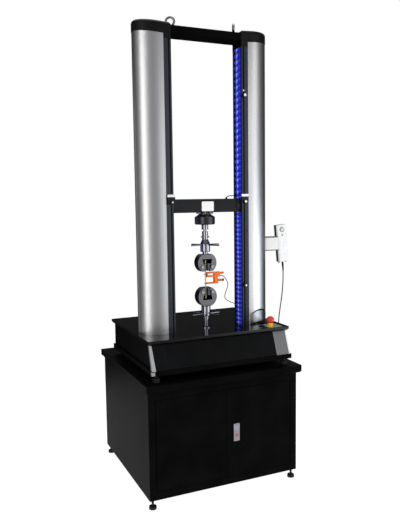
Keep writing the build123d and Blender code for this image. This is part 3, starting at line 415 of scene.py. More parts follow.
def grid_faces(rows, columns, ring=False):
    """Quads of a grid of rows by columns, closing the columns into a ring when asked."""
    r = np.arange(rows - 1)[:, None]
    c = np.arange(columns if ring else columns - 1)[None, :]
    after = (c + 1) % columns
    quads = np.stack(np.broadcast_arrays(
        r * columns + c, r * columns + after, (r + 1) * columns + after, (r + 1) * columns + c,
    ), -1)
    return quads.reshape(-1, 4).tolist()


def capped_rings(name, rings):
    """A closed form from equal rings of points laid one above the other, with capped ends.

    Its edges stay sharp where faces meet at more than 35 degrees."""
    rows, columns = rings.shape[:2]
    faces = grid_faces(rows, columns, True)
    faces.append(list(range(columns))[::-1])
    faces.append([(rows - 1) * columns + i for i in range(columns)])
    piece = mesh_object(name, rings, faces)
    with bpy.context.temp_override(object=piece, active_object=piece, selected_objects=[piece],
                                   selected_editable_objects=[piece]):
        bpy.ops.object.shade_smooth_by_angle(angle=math.radians(35.0))
    return piece


def turned(name, profile, origin, axis, segments=48, knurls=0, hexed=()):
    """A closed turned form: (radius, distance) pairs in mm carried round an axis through origin.

    Point = origin + axis * distance + radius * (u cos t + v sin t), with u and v square to the
    axis. Knurls multiply the outer radius by 1 + 0.03 cos(knurls * t). Rows named in hexed have
    the radius of a hexagon, cos 30 degrees over the cosine of the angle from the flat's middle."""
    w = Vector(axis).normalized()
    u = w.orthogonal().normalized()
    v = w.cross(u)
    pairs = np.array(profile, float)
    t = np.linspace(0, 2 * math.pi, segments, endpoint=False)
    radius = np.repeat(pairs[:, :1], segments, 1)
    if knurls:
        widest = pairs[:, 0] > 0.93 * pairs[:, 0].max()
        radius[widest] *= 1 + 0.03 * np.cos(knurls * t)
    for row in hexed:
        radius[row] *= math.cos(math.pi / 6) / np.cos((t % (math.pi / 3)) - math.pi / 6)
    ring = np.cos(t)[:, None] * np.array(u) + np.sin(t)[:, None] * np.array(v)
    centres = np.array(origin, float) + pairs[:, 1, None, None] * np.array(w)
    return capped_rings(name, centres + radius[:, :, None] * ring[None])


def rounded_outline(width, height, radius, steps=8):
    """Closed outline of a rounded rectangle about its centre, corner arcs of the given radius."""
    corners = np.array([(1, 1, 0), (-1, 1, 90), (-1, -1, 180), (1, -1, 270)], float)
    t = np.radians(corners[:, 2:] + np.linspace(0, 90, steps)[None])
    x = corners[:, :1] * (width / 2 - radius) + radius * np.cos(t)
    y = corners[:, 1:2] * (height / 2 - radius) + radius * np.sin(t)
    return np.stack([x, y], -1).reshape(-1, 2)


def plate(name, centre, right, up, width, height, thickness, radius, edge=0.5):
    """A rounded plate lying on its back face, with a small bevel round its front.

    Three rings of the outline: the back, the front rim, and the front drawn in by the edge."""
    r = Vector(right).normalized()
    u = Vector(up).normalized()
    n = np.array(r.cross(u))
    r, u = np.array(r), np.array(u)
    rings = []
    for depth, inset in ((0.0, 0.0), (thickness - edge, 0.0), (thickness, edge)):
        flat = rounded_outline(width - 2 * inset, height - 2 * inset, max(radius - inset, 0.2))
        rings.append(np.array(centre) + flat[:, :1] * r + flat[:, 1:] * u + depth * n)
    return capped_rings(name, np.stack(rings))


def prism(name, bottom, top):
    """A straight form between two outlines of as many corners, anticlockwise from above."""
    return capped_rings(name, np.array([bottom, top], float))


def cover_patch(name, turns, low, high, proud, thickness):
    """A sheet on the right column's cover, between two heights that are functions of the turn.

    x = centre + (radius + proud) cos t and y = centre - (radius + proud) sin t, while z runs
    from low to high; the sheet then gets its thickness inwards."""
    t = np.radians(np.linspace(*turns, 60))
    x = COVER_CENTRE[0] + (COVER_RADII[0] + proud) * np.cos(t)
    y = COVER_CENTRE[1] - (COVER_RADII[1] + proud) * np.sin(t)
    rise = np.linspace(0, 1, 7)[:, None]
    z = low(np.degrees(t))[None] * (1 - rise) + high(np.degrees(t))[None] * rise
    points = np.stack([np.broadcast_to(x, z.shape), np.broadcast_to(y, z.shape), z], -1)
    piece = mesh_object(name, points, [f[::-1] for f in grid_faces(*z.shape)])
    solid = piece.modifiers.new("sheet", "SOLIDIFY")
    solid.thickness = thickness * MM
    solid.offset = -1.0
    return piece


def wire(name, route, diameter):
    """A bent round wire, cord or moulded lead: one NURBS line drawn by the route's points."""
    curve = bpy.data.curves.new(name, "CURVE")
    curve.dimensions = "3D"
    curve.bevel_depth = diameter / 2 * MM
    curve.bevel_resolution = 5
    curve.use_fill_caps = True
    line = curve.splines.new("NURBS")
    line.points.add(len(route) - 1)
    for point, place in zip(line.points, route):
        point.co = (*[c * MM for c in place], 1.0)
    line.order_u = 3
    line.use_endpoint_u = True
    return linked(name, curve)


def joined(name, parts):
    """Several mesh objects as one, under a new name."""
    with bpy.context.temp_override(active_object=parts[0], object=parts[0],
                                   selected_objects=parts, selected_editable_objects=parts):
        bpy.ops.object.join()
    parts[0].name = name
    parts[0].data.name = name
    return parts[0]


def paint(piece, maker):
    """Give a piece the material of a finish in place of its own."""
    piece.data.materials.clear()
    piece.data.materials.append(material(maker))


def dress(piece, maker, body):
    """Give a finished piece its material and body."""
    paint(piece, maker)
    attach(piece, body)
    return piece


def clamp_knob(name, face, r, body):
    """A black knurled cap over a clamping knob, with a bright socket screw of radius r in it."""
    cap = turned(
        f"{name}_cap", [(9.4, -9.5), (9.8, -9.0), (9.8, 0.4), (9.0, 1.4), (0.2, 1.6)],
        face, FRONT, 96, knurls=24,
    )
    dress(cap, black_plastic, body)
    screw = turned(
        f"{name}_screw",
        [(r, 1.4), (r, 2.6), (r - 0.8, 3.4), (r * 0.45, 3.5), (r * 0.4, 2.6), (0.2, 2.6)],
        face, FRONT, 24, hexed=(3, 4),
    )
    dress(screw, white_zinc, body)


# Settings
def colour_property(name, description, code):
    """A colour that the user may change; its default is the sRGB hex colour."""
    return FloatVectorProperty(name=name, description=description, default=srgb(code)[:3],
                               subtype="COLOR", min=0.0, max=1.0)


class MachineSizes(bpy.types.PropertyGroup):
    """Sizes of the dressed details that a user may change."""

    badge_width: FloatProperty(
        name="Badge width", description="Width of the blank plate on the crosshead",
        default=0.070, unit="LENGTH")
    badge_height: FloatProperty(
        name="Badge height", description="Height of the blank plate on the crosshead",
        default=0.052, unit="LENGTH")
    cell_bolts: IntProperty(
        name="Cell bolts", description="Socket screws round the load cell's neck", default=8)
    key_film_width: FloatProperty(
        name="Key film width", description="Width of the handset's key film",
        default=0.044, unit="LENGTH")
    key_film_height: FloatProperty(
        name="Key film height", description="Height of the handset's key film",
        default=0.118, unit="LENGTH")
    pleat_rows: IntProperty(
        name="Pleat rows", description="Grid rows to a quarter of a pleat of the bellows",
        default=3)


class MachineColours(bpy.types.PropertyGroup):
    """Colours of the finishes that a user may change."""

    coating: colour_property("Coating", "Powder coat of the cabinet and the base", "0c0c0d")
    end_panel: colour_property("End panel", "Panel at the right end of the front", "6f7173")
    covers: colour_property("Covers", "Anodised covers of the columns", "c2c3c6")
    bellows: colour_property("Bellows", "Cloth of the bellows", "1428f4")
    # The bellows' ridge and glint colours are painted highlights on the cloth
    bellows_ridge_highlight: colour_property("Bellows' ridges", "Cloth where it catches light", "2c52ff")
    bellows_glint: colour_property("Bellows' glint", "Brightest line on the cloth", "d6e4ff")
    extensometer: colour_property("Extensometer", "Anodised extensometer", "ee7428")
    handset: colour_property("Handset", "Front shell of the handset", "f2f3f4")
    stop_head: colour_property("Stop head", "Emergency stop's head and lock's button", "d83324")
    stop_collar: colour_property("Stop collar", "Emergency stop's collar", "f2c02a")


class MachineLights(bpy.types.PropertyGroup):
    """Camera and light settings."""

    camera_place: FloatVectorProperty(
        name="Camera place", description="Where the camera stands",
        default=(-1.3427, -2.9420, 0.6943), unit="LENGTH")
    camera_lens: FloatProperty(
        name="Lens", description="Focal length in mm on a 36 mm sensor", default=41.36)
    camera_yaw: FloatProperty(
        name="Yaw", description="Turn from +Y towards +X", default=math.radians(24.02),
        subtype="ANGLE")
    camera_pitch: FloatProperty(
        name="Pitch", description="Tilt, down is negative", default=math.radians(-5.71),
        subtype="ANGLE")
    camera_roll: FloatProperty(
        name="Roll", description="Roll about the view", default=math.radians(-0.77),
        subtype="ANGLE")
    left_power: FloatProperty(
        name="Left power", description="Power of the tall left softbox", default=46.0)
    right_power: FloatProperty(
        name="Right power", description="Power of the tall right softbox", default=25.0)
    low_power: FloatProperty(
        name="Low right power", description="Power of the bluish softbox low on the right",
        default=19.0)
    front_power: FloatProperty(
        name="Front power", description="Power of the front fill", default=24.0)
    top_power: FloatProperty(
        name="Top power", description="Power of the overhead softbox", default=49.0)
    back_power: FloatProperty(
        name="Back power", description="Power of each softbox behind", default=7.0)
    world_strength: FloatProperty(
        name="World strength", description="Strength of the soft surround", default=0.5)
    studio_strength: FloatProperty(
        name="Studio strength", description="How bright gloss sees the studio before the machine",
        default=0.33)


class Stage(bpy.types.Operator):
    """Camera, floor, surround and softboxes"""
    bl_idname = "machine.stage"
    bl_label = "Stage"

    def execute(self, context):
        lights = context.scene.machine_lights
        self.camera(lights)
        self.floor()
        self.world(lights)
        self.softboxes(lights)
        return {"FINISHED"}

    def camera(self, lights):
        """Camera turned by yaw and pitch, then rolled about its view."""
        yaw, pitch, roll = lights.camera_yaw, lights.camera_pitch, lights.camera_roll
        forward = Vector((
            math.sin(yaw) * math.cos(pitch), math.cos(yaw) * math.cos(pitch), math.sin(pitch),
        ))
        level = Vector((math.cos(yaw), -math.sin(yaw), 0))
        square = level.cross(forward)
        right = level * math.cos(roll) + square * math.sin(roll)
        up = square * math.cos(roll) - level * math.sin(roll)
        data = bpy.data.cameras.new("camera")
        data.lens = lights.camera_lens
        camera = linked("camera", data)
        turn = Matrix((right, up, -forward)).transposed().to_4x4()
        camera.matrix_world = Matrix.Translation(Vector(lights.camera_place)) @ turn
        bpy.context.scene.camera = camera

    def background_rays(self, tree):
        """1 for rays of the camera or through glass, and 1 for rays of gloss, as two sockets."""
        path = add_node(tree, "ShaderNodeLightPath")
        seen = add_node(tree, "ShaderNodeMath", {"operation": "MAXIMUM"}, {
            0: path.outputs["Is Camera Ray"], 1: path.outputs["Is Transmission Ray"],
        }).outputs[0]
        return seen, path.outputs["Is Glossy Ray"]

    def floor(self):
        """A square of pale paper under the machine, 3.6 m wide, that keeps a soft shadow.

        Three quarters of what the camera, glass and gloss see of it is a glow a little above
        white, and the rest is lit paper with the shadow on it."""
        half, middle = 1800.0, 150.0
        z = CAD_BOX[0][2] / MM - 0.5
        near, far = middle - half, middle + half
        floor = mesh_object("floor", [
            [-half, near, z], [half, near, z], [half, far, z], [-half, far, z],
        ], [[0, 1, 2, 3]])
        paper = bpy.data.materials.new("paper_white_floor")
        tree = emptied(paper)
        matt = add_node(tree, "ShaderNodeBsdfDiffuse", {"Color": srgb("f2f2f1")})
        glow = add_node(tree, "ShaderNodeEmission", {"Color": srgb("ffffff"), "Strength": 1.3})
        seen, gloss = self.background_rays(tree)
        either = add_node(
            tree, "ShaderNodeMath", {"operation": "MAXIMUM"}, {0: seen, 1: gloss}
        ).outputs[0]
        share = add_node(
            tree, "ShaderNodeMath", {"operation": "MULTIPLY", 1: 0.75}, {0: either}
        ).outputs[0]
        mix = add_node(tree, "ShaderNodeMixShader", {}, {
            0: share, 1: matt.outputs["BSDF"], 2: glow.outputs["Emission"],
        })
        add_node(tree, "ShaderNodeOutputMaterial", {}, {"Surface": mix.outputs["Shader"]})
        floor.data.materials.append(paper)

    def world(self, lights):
        """White behind the object for camera and glass; gloss also sees a half-dark studio.

        With c the cosine between a direction and the photograph's line of sight, gloss finds the
        studio's strength where c is below -0.65, falling to a tenth of it where c is above 0.1.
        The white backdrop is added to it where c is above 0.8 and the direction climbs by 30
        degrees or more, and fades to nothing at c = 0.55 and a climb of 17 degrees. All other
        rays find an even surround."""
        world = bpy.data.worlds.new("surround")
        bpy.context.scene.world = world
        world.cycles.sampling_method = "NONE"
        tree = emptied(world)
        seen, gloss = self.background_rays(tree)
        direction = add_node(tree, "ShaderNodeTexCoord").outputs["Generated"]
        climb = add_node(
            tree, "ShaderNodeSeparateXYZ", {}, {"Vector": direction}
        ).outputs["Z"]
        towards = add_node(
            tree, "ShaderNodeVectorMath", {"operation": "DOT_PRODUCT", 1: LINE_OF_SIGHT},
            {0: direction},
        ).outputs["Value"]
        studio = add_node(tree, "ShaderNodeMapRange", {
            "From Min": -0.65, "From Max": 0.1,
            "To Min": lights.studio_strength, "To Max": lights.studio_strength / 10,
        }, {"Value": towards}).outputs["Result"]
        behind = add_node(
            tree, "ShaderNodeMapRange", {"From Min": 0.55, "From Max": 0.8}, {"Value": towards}
        ).outputs["Result"]
        above = add_node(
            tree, "ShaderNodeMapRange", {"From Min": 0.3, "From Max": 0.5}, {"Value": climb}
        ).outputs["Result"]
        backdrop = add_node(
            tree, "ShaderNodeMath", {"operation": "MULTIPLY_ADD"}, {0: behind, 1: above, 2: studio}
        ).outputs[0]
        unseen = add_node(
            tree, "ShaderNodeMix", {"data_type": "FLOAT", 2: lights.world_strength},
            {0: gloss, 3: backdrop},
        ).outputs[0]
        strength = add_node(
            tree, "ShaderNodeMix", {"data_type": "FLOAT", 3: 1.0}, {0: seen, 2: unseen}
        ).outputs[0]
        surround = add_node(
            tree, "ShaderNodeBackground", {"Color": srgb("ffffff")}, {"Strength": strength}
        )
        add_node(tree, "ShaderNodeOutputWorld", {}, {"Surface": surround.outputs["Background"]})

    def softboxes(self, lights):
        """Tall softboxes at both sides for the columns' highlights, a fill and one overhead."""
        warm, mild, cool, white = (1, 0.97, 0.93), (1, 0.98, 0.95), (0.82, 0.91, 1), (1, 1, 1)
        boxes = [
            ("softbox_left", (-2.6, -2.2, 0.9), (1.5, 3.6), lights.left_power, warm),
            ("softbox_right", (2.6, -2.5, 0.9), (1.1, 3.6), lights.right_power, mild),
            ("softbox_low_right", (2.9, -1.9, -0.2), (1.7, 1.3), lights.low_power, cool),
            ("softbox_front", (1.9, -4.2, 0.6), (2.2, 3.2), lights.front_power, white),
            ("softbox_top", (0.0, 0.4, 3.6), (2.5, 2.5), lights.top_power, white),
            ("softbox_back_left", (-3.2, 2.6, 0.5), (1.2, 2.8), lights.back_power, white),
            ("softbox_back_right", (3.2, 2.6, 0.5), (1.2, 2.8), lights.back_power, white),
        ]
        for name, place, size, power, tint in boxes:
            data = bpy.data.lights.new(name, "AREA")
            data.shape = "RECTANGLE"
            data.size, data.size_y = size
            data.energy = power
            data.color = tint
            lamp = linked(name, data)
            lamp.location = place
            # Side lamps stand level and face the machine; the one overhead looks down at it
            aim = Vector((0, 0.1, place[2] if place[2] < 1 else 0.3))
            lamp.rotation_euler = (aim - Vector(place)).to_track_quat("-Z", "Y").to_euler()


class Cords(bpy.types.Operator):
    """The extensometer's and the handset's cables"""
    bl_idname = "machine.cords"
    bl_label = "Cables"

    extensometer_route = [
        (85.0, 0.0, 281.1), (105.0, 0.0, 281.1), (122.0, 5.0, 264.0), (138.0, 13.0, 246.0),
        (149.0, 23.0, 224.0), (148.0, 36.0, 198.0), (143.0, 50.0, 170.0), (147.0, 65.0, 146.0),
        (166.0, 83.0, 127.0), (196.0, 104.0, 111.0), (230.0, 126.0, 98.0), (264.0, 148.0, 80.0),
        (290.0, 164.0, 56.0), (300.0, 170.0, 30.0), (300.0, 170.0, 10.0),
    ]
    handset_route = [
        (504.2583, 22.0, 324.7476), (508.6161, 22.0, 274.9379), (504.0, 18.0, 200.0),
        (494.0, 14.0, 130.0), (480.0, 10.0, 64.0), (468.0, 4.0, 12.0), (463.0, 0.0, -30.0),
        (459.0, 0.0, -55.0), (444.0, 0.0, -75.0), (421.0, 0.0, -86.0), (399.0, 0.0, -86.0),
    ]

    def execute(self, context):
        self.cord("extensometer_lead", self.extensometer_route, 4.0, 0.4288,
                  "extensometer_cable", "limp")
        start, after = (Vector(place) for place in self.handset_route[:2])
        sleeve = turned(
            "handset_lead_sleeve",
            [(3.1, -0.5), (6.0, -0.5), (6.2, 1.0), (5.6, 12.0), (4.8, 26.0), (4.0, 42.0),
             (3.6, 45.0), (3.1, 45.2)],
            start, after - start, 32,
        )
        dress(sleeve, rubber, "frame")
        self.cord("handset_lead", self.handset_route, 6.0, 0.4556, "handset_cable", "medium",
                  [sleeve])
        return {"FINISHED"}

    def cord(self, name, route, diameter, length, node, stiffness, on_it=()):
        """A cord drawn along its route, in the place of its plain solid."""
        piece = dress(wire(name, route, diameter), cable_jacket, "frame")
        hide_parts(node)


class PaintFrame(bpy.types.Operator):
    """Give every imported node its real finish"""
    bl_idname = "machine.paint_frame"
    bl_label = "Finishes"

    finishes = {
        powder_coat: ["cabinet_top", "cabinet_front_frame", "cabinet_panels", "left_door",
                      "right_door", "base_frame", "base_housing", "top_beam"],
        crosshead_enamel: ["crosshead"],
        fascia_coat: ["front_fascia"],
        stove_lacquer: ["table_top"],
        black_anodise: ["column_strips"],
        silver_anodise: ["column_covers"],
        moulded_cap: ["column_caps", "cable_glands"],
        rubber: ["cabinet_feet", "machine_feet", "drive_belt"],
        ground_steel: ["door_pins", "guide_rods", "screw_bearings", "left_lead_screw",
                       "right_lead_screw", "drive_nuts", "guide_bushes", "motor_pulley",
                       "lower_stem", "upper_coupling", "upper_lock_nut", "lower_lock_nut",
                       "lock_plate", "lock_lever"],
        jaw_steel: ["upper_left_jaw", "upper_right_jaw", "lower_left_jaw", "lower_right_jaw"],
        zinc: ["eyebolts"],
        flag_steel: ["stop_flags", "upper_limit_stop", "lower_limit_stop"],
        grip_steel: ["upper_grip_body", "lower_grip_body"],
        cell_enamel: ["load_cell", "drive_motor"],
        brass: ["specimen"],
        orange_anodise: ["extensometer_body", "extensometer_arm"],
        handset_shells: ["handset_body"],
        bracket_paint: ["handset_bracket"],
        pale_paint: ["handset_dial"],
        black_plastic: ["power_button"],
        red_plastic: ["estop_head", "lock_button"],
        yellow_plastic: ["estop_collar"],
    }

    def execute(self, context):
        for maker, names in self.finishes.items():
            for name in names:
                paint(NODES[name], maker)
        return {"FINISHED"}


class Bellows(bpy.types.Operator):
    """Pleated covers in the columns' slots"""
    bl_idname = "machine.bellows"
    bl_label = "Bellows"

    folds = {"lower": 25, "upper": 24}
    depth_share = 0.62
    end_gap = 0.0015
    cloth = 0.0008

    def execute(self, context):
        for side in ("left", "right"):
            for level in ("lower", "upper"):
                self.cover(side, level, context.scene.machine_sizes.pleat_rows)
        return {"FINISHED"}

    def cover(self, side, level, rows):
        """One pleated cover as a sheet of coated cloth.

        x = near + depth * fold(z) * (1 - 0.25 |2y - 1|^6), where fold is a triangle wave of z
        blended with its cosine, so that ridges are rounded, and y runs from 0 to 1 across the
        slot. The glint is 0.1, plus 0.4 (1 - fold) (0.3 + y) on the ridges, plus 0.68 times a
        bell of width 0.1 round a line that swings by 0.2 either side of y = 0.72 with the
        wave."""
        node = f"{side}_{level}_bellows"
        low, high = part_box(node)
        sign = 1 if side == "right" else -1
        near = low.x if sign > 0 else high.x
        depth = self.depth_share * (high.x - low.x)
        z = np.linspace(0, 1, self.folds[level] * 4 * rows + 1)
        wave = 1 - np.abs((z * self.folds[level]) % 1 * 2 - 1)
        fold = 0.6 * wave + 0.4 * (0.5 - 0.5 * np.cos(math.pi * wave))
        y = np.linspace(0, 1, 19)
        height, across = np.meshgrid(
            low.z + self.end_gap + z * (high.z - low.z - 2 * self.end_gap), y, indexing="ij")
        sink = depth * fold[:, None] * (1 - 0.25 * np.abs(y * 2 - 1) ** 6) + 0.75 * self.cloth
        points = np.stack([near + sign * sink, low.y + across * (high.y - low.y), height], -1)
        faces = grid_faces(len(z), len(y))
        if sign > 0:
            faces = [f[::-1] for f in faces]
        piece = mesh_object(f"{node}_cloth", points / MM, faces)
        # The glint attribute is painted light: painted highlights on the ridges, stronger towards
        # the rear edge at y = 1, painted shade in the folds, and a painted zigzag highlight from
        # the bell
        bell = np.exp(-(((y[None] - 0.72 - 0.4 * (wave[:, None] - 0.5)) / 0.1) ** 2))
        glint = np.clip(0.4 * (1 - fold)[:, None] * (0.3 + y[None]) + 0.1 + 0.68 * bell, 0, 1)
        piece.data.attributes.new("glint", "FLOAT", "POINT").data.foreach_set(
            "value", glint.ravel().astype(np.float32))
        solid = piece.modifiers.new("cloth", "SOLIDIFY")
        solid.thickness = self.cloth
        solid.offset = 0.0
        dress(piece, bellows_cloth, "frame")
        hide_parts(node)
        piece.parent = None
        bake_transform(piece)


class CrossheadDetails(bpy.types.Operator):
    """Blank badge, load-cell screws, flag knobs and the crosshead's lead"""
    bl_idname = "machine.crosshead_details"
    bl_label = "Crosshead details"

    def execute(self, context):
        sizes = context.scene.machine_sizes
        low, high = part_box("crosshead")
        face, under, top = low.y / MM, low.z / MM, high.z / MM
        badge = plate(
            "crosshead_badge", (2.0, face, 661.5), ACROSS, UP,
            sizes.badge_width / MM, sizes.badge_height / MM, 1.5, 5.0,
        )
        dress(badge, white_plate, "crosshead")
        screw_circle = 41.0
        screws = []
        for k in range(sizes.cell_bolts):
            turn = 2 * math.pi * (k + 0.5) / sizes.cell_bolts
            screws.append(turned(
                f"cell_screw_{k}",
                [(5.2, 0), (5.2, 6.6), (4.4, 7.8), (2.8, 7.8), (2.6, 5.0), (0.2, 5.0)],
                (screw_circle * math.cos(turn), screw_circle * math.sin(turn), under),
                DOWN, 24, hexed=(3, 4),
            ))
        dress(joined("cell_screws", screws), ground_steel, "crosshead")
        clamp_knob("left_flag", (-TEE_X, KNOB_FACE, 685.0), 4.5, "crosshead")
        clamp_knob("right_flag", (TEE_X, KNOB_FACE, 685.0), 7.0, "crosshead")
        lead = wire("crosshead_lead", [
            (131.0, 0.0, top + 4), (133.0, 0.0, 711.0), (146.0, 0.0, 716.0), (160.0, 0.0, 717.0),
            (198.0, 0.0, 717.0),
        ], 5.0)
        dress(lead, cable_jacket, "crosshead")
        gland = turned(
            "crosshead_gland",
            [(6.5, 0), (6.5, 4.0), (5.6, 4.6), (5.0, 4.8), (4.4, 8.0), (0.2, 8.0)],
            (131.0, 0.0, top), UP, 24, hexed=(0, 1),
        )
        dress(gland, black_plastic, "crosshead")
        return {"FINISHED"}


class GripDetails(bpy.types.Operator):
    """Socket heads on the grips' bolts"""
    bl_idname = "machine.grip_details"
    bl_label = "Grip details"

    def execute(self, context):
        head = [(9.2, 0.2), (9.3, 0.6), (9.3, 6.2), (8.5, 7.0), (5.0, 7.0), (4.8, 5.3), (0.2, 5.3)]
        for name, z, body in (("upper_grip_bolts", 335.0, "crosshead"),
                              ("lower_grip_bolts", 198.0, "frame")):
            bolts = [
                turned(f"{name}_{side}", head, (side * 29.5, GRIP_FRONT, z), FRONT, 48,
                       hexed=(4, 5))
                for side in (-1, 1)
            ]
            dress(joined(name, bolts), ground_steel, body)
        return {"FINISHED"}


class ExtensometerDetails(bpy.types.Operator):
    """Knobs, knife clips and screws of the extensometer"""
    bl_idname = "machine.extensometer_details"
    bl_label = "Extensometer details"

    def execute(self, context):
        for name, z, r, maker, slot_name in (
            ("extensometer_set_knob", 295.1, 5.5, grey_plastic, "silver_anodised"),
            ("extensometer_lock_knob", 255.6, 6.5, black_plastic, "black_plastic"),
        ):
            knob = turned(
                name, [(r - 0.6, -6.0), (r, -5.4), (r, 3.4), (r - 0.8, 4.2), (0.2, 4.4)],
                (106.0, 0.0, z), ACROSS, 72, knurls=18,
            )
            dress(knob, maker, "frame")
        for name, z, body in (("upper_knife_clip", 292.6, "frame"),
                              ("lower_knife_clip", 242.6, "extensometer_arm")):
            clip = wire(name, [
                (12.0, -6.5, z), (5.0, -6.8, z), (-3.0, -7.2, z), (-8.5, -4.0, z), (-8.5, 4.0, z),
                (-3.0, 7.2, z), (5.0, 6.8, z), (12.0, 6.5, z),
            ], 1.4)
            dress(clip, ground_steel, body)
        screws = [
            turned(f"body_screw_{k}", [(2.6, 0), (2.6, 1.2), (2.0, 1.9), (0.2, 2.0)],
                   (x, -9.0, z), FRONT, 20)
            for k, (x, z) in enumerate(((20.0, 298.5), (66.0, 298.5), (78.5, 268.0)))
        ]
        dress(joined("extensometer_screws", screws), ground_steel, "frame")
        return {"FINISHED"}


class HandsetDetails(bpy.types.Operator):
    """Key film, dial ring, buttons and feet of the handset"""
    bl_idname = "machine.handset_details"
    bl_label = "Handset details"

    def execute(self, context):
        sizes = context.scene.machine_sizes
        centre = HANDSET_CENTRE - Vector((0, 20.0, 0))
        film = plate(
            "handset_key_film", centre - HANDSET_UP * 28.0, HANDSET_RIGHT, HANDSET_UP,
            sizes.key_film_width / MM, sizes.key_film_height / MM, 0.9, 4.0, 0.3,
        )
        dress(film, key_film, "handset")
        keys = []
        for row in range(5):
            for column in (-1, 0, 1):
                place = (centre - HANDSET_UP * (64.0 - row * 17.0)
                         + HANDSET_RIGHT * (column * 13.0) - Vector((0, 0.8, 0)))
                keys.append(plate(f"key_{row}_{column}", place, HANDSET_RIGHT, HANDSET_UP,
                                  9.0, 9.0, 1.1, 4.2, 0.5))
        dress(joined("handset_keys", keys), key_film, "handset")
        ring = turned(
            "handset_dial_ring",
            [(15.0, 0.0), (15.0, 1.4), (14.2, 2.2), (12.6, 2.2), (12.0, 1.6), (12.0, 0.6),
             (0.2, 0.6)],
            centre + HANDSET_UP * 80.0, FRONT, 64,
        )
        dress(ring, grey_plastic, "handset")
        button = turned(
            "handset_button", [(5.0, 0.0), (5.0, 1.6), (4.2, 2.4), (0.2, 2.6)],
            centre + HANDSET_UP * 48.0, FRONT, 32,
        )
        dress(button, grey_plastic, "handset")
        side = turned(
            "handset_side_button", [(5.0, -1.0), (5.0, 2.2), (4.0, 3.0), (0.2, 3.2)],
            HANDSET_CENTRE + HANDSET_RIGHT * 31.0 + HANDSET_UP * 62.0, HANDSET_RIGHT, 32,
        )
        dress(side, black_plastic, "handset")
        feet = [
            turned(f"handset_foot_{turn}", [(6.5, -3.0), (6.5, 5.0), (5.8, 6.0), (0.2, 6.2)],
                   HANDSET_CENTRE - HANDSET_UP * 106.0 + HANDSET_RIGHT * (turn * 22.0),
                   -HANDSET_UP, 32)
            for turn in (-1, 1)
        ]
        dress(joined("handset_feet", feet), black_plastic, "handset")
        return {"FINISHED"}


class BaseDetails(bpy.types.Operator):
    """Bright corner trims, the control plate and the switch's bezel"""
    bl_idname = "machine.base_details"
    bl_label = "Base details"

    def execute(self, context):
        low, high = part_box("front_fascia")
        top, bottom = high.z / MM - 0.5, low.z / MM + 0.5
        front_low, front_high = -230.0, -183.0
        left = prism(
            "left_corner_trim",
            self.corner(-379.0, -399.0, -391.2, front_low, bottom, 16.0),
            self.corner(-385.0, -398.0, -391.2, front_high, top, 12.0),
        )
        right = prism(
            "right_corner_trim",
            self.corner(387.0, 393.0, 391.2, front_low, bottom, 10.0)[::-1],
            self.corner(387.0, 393.0, 391.2, front_high, top, 10.0)[::-1],
        )
        bracket = prism("lip_corner_piece", self.angle(-162.0), self.angle(-144.0))
        control = plate(
            "control_plate", (338.0, -137.0, 0.0), ACROSS, BACK, 84, 90, 1.0, 4.0, 0.4,
        )
        for piece in (left, right, bracket, control):
            dress(piece, silver_plate, "frame")
        button_low, button_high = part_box("power_button")
        button = (button_low + button_high) / 2 / MM
        bezel = turned(
            "power_bezel", [(15, 0), (15, 2.4), (14, 3.4), (10.4, 3.4), (9.6, 2.8), (9.6, 0)],
            (button.x, button.y, 0.0), UP,
        )
        dress(bezel, black_plastic, "frame")
        return {"FINISHED"}

    def corner(self, inner, outer, wall, face, z, back):
        """Outline of an angle round a corner: along the face, round it and back along the wall."""
        lean = math.copysign(1.0, outer - inner)
        return [
            (inner, face + 0.3, z), (wall, face + 0.3, z), (wall, face + back, z),
            (outer, face + back, z), (outer, face - 0.8, z), (outer - lean * 1.2, face - 2.0, z),
            (inner, face - 2.0, z),
        ]

    def angle(self, z):
        """Outline of a 15 mm angle of 1.2 mm sheet round the lip's front left corner."""
        low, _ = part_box("base_frame")
        x, y = low.x / MM, low.y / MM
        return [
            (x + 15, y, z), (x - 0.1, y, z), (x - 0.1, y + 15, z), (x - 1.2, y + 15, z),
            (x - 1.2, y - 1.2, z), (x + 15, y - 1.2, z),
        ]


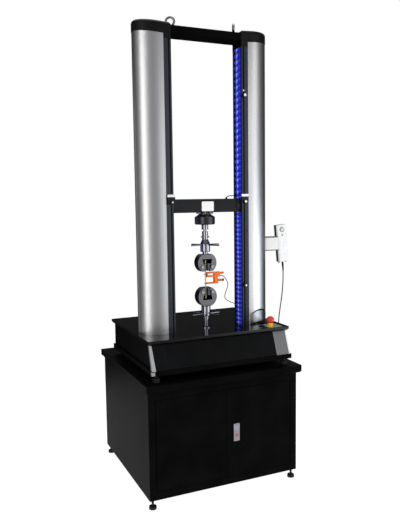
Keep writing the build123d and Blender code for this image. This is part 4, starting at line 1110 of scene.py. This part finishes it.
class ColumnDetails(bpy.types.Operator):
    """Foot plate of the right cover, stop knobs and small screws on the columns"""
    bl_idname = "machine.column_details"
    bl_label = "Column details"

    def execute(self, context):
        turns = (17.0, 96.0)
        foot = cover_patch(
            "cover_foot_plate", turns, lambda turn: np.full_like(turn, 0.5), self.arch, 1.2, 0.9)
        dress(foot, zinc, "frame")
        seam = cover_patch(
            "cover_foot_seam", turns, lambda turn: self.arch(turn) - 2.2, self.arch, 1.6, 1.2)
        dress(seam, black_plastic, "frame")
        clamp_knob("upper_stop", (TEE_X, STOP_KNOB_FACE, 1250.0), 7.5, "upper_limit_stop")
        clamp_knob("lower_stop", (TEE_X, STOP_KNOB_FACE, 226.0), 5.5, "lower_limit_stop")
        rear_strip_slant = (-0.787, 0.617, 0)
        screws = [
            turned(f"column_screw_{k}",
                   [(4.2, 0), (4.2, 1.2), (3.2, 2.2), (1.9, 2.3), (1.7, 1.1), (0.2, 1.1)],
                   place, axis, 24, hexed=(3, 4))
            for k, (place, axis) in enumerate((
                ((TEE_X, STRIP_FRONT, 1275.5), FRONT),
                ((231.0, STRIP_FRONT, 523.0), FRONT),
                ((205.5, 53.0, 1499.0), rear_strip_slant),
            ))
        ]
        dress(screws[0], white_zinc, "frame")
        dress(joined("column_screws", screws[1:]), black_steel, "frame")
        return {"FINISHED"}

    def arch(self, turn):
        """Height of the foot plate's top: 82 mm at 65 degrees, two parabolas down to its ends."""
        crest, left_end, right_end = 65.0, 96.0, 19.0
        left = 27.0 * ((turn - crest) / (left_end - crest)) ** 2
        right = 42.0 * ((turn - crest) / (crest - right_end)) ** 2
        return 82.0 - np.where(turn > crest, left, right)


class MachinePanel(bpy.types.Panel):
    """Lists the machine's steps and settings in the sidebar"""
    bl_idname = "VIEW3D_PT_machine"
    bl_label = "Testing machine"
    bl_space_type = "VIEW_3D"
    bl_region_type = "UI"
    bl_category = "Testing machine"

    def draw(self, context):
        for step in STEPS:
            self.layout.operator(step.bl_idname)
        scene = context.scene
        for group in (scene.machine_sizes, scene.machine_colours, scene.machine_lights):
            for key in group.__annotations__:
                self.layout.prop(group, key)


STEPS = [Stage, Cords, PaintFrame, Bellows, CrossheadDetails, GripDetails, ExtensometerDetails,
         HandsetDetails, BaseDetails, ColumnDetails]
CLASSES = [MachineSizes, MachineColours, MachineLights, *STEPS, MachinePanel]


def register():
    """Register the classes and hang the settings on the scene."""
    for cls in CLASSES:
        bpy.utils.register_class(cls)
    bpy.types.Scene.machine_sizes = PointerProperty(type=MachineSizes)
    bpy.types.Scene.machine_colours = PointerProperty(type=MachineColours)
    bpy.types.Scene.machine_lights = PointerProperty(type=MachineLights)


def unregister():
    """Take the settings and the classes out again."""
    del bpy.types.Scene.machine_sizes
    del bpy.types.Scene.machine_colours
    del bpy.types.Scene.machine_lights
    for cls in reversed(CLASSES):
        bpy.utils.unregister_class(cls)


def main():
    """Run every step in order."""
    register()
    bpy.context.scene.view_settings.view_transform = "Standard"
    for step in STEPS:
        group, call = step.bl_idname.split(".")
        getattr(getattr(bpy.ops, group), call)()


if __name__ == "__main__":
    main()
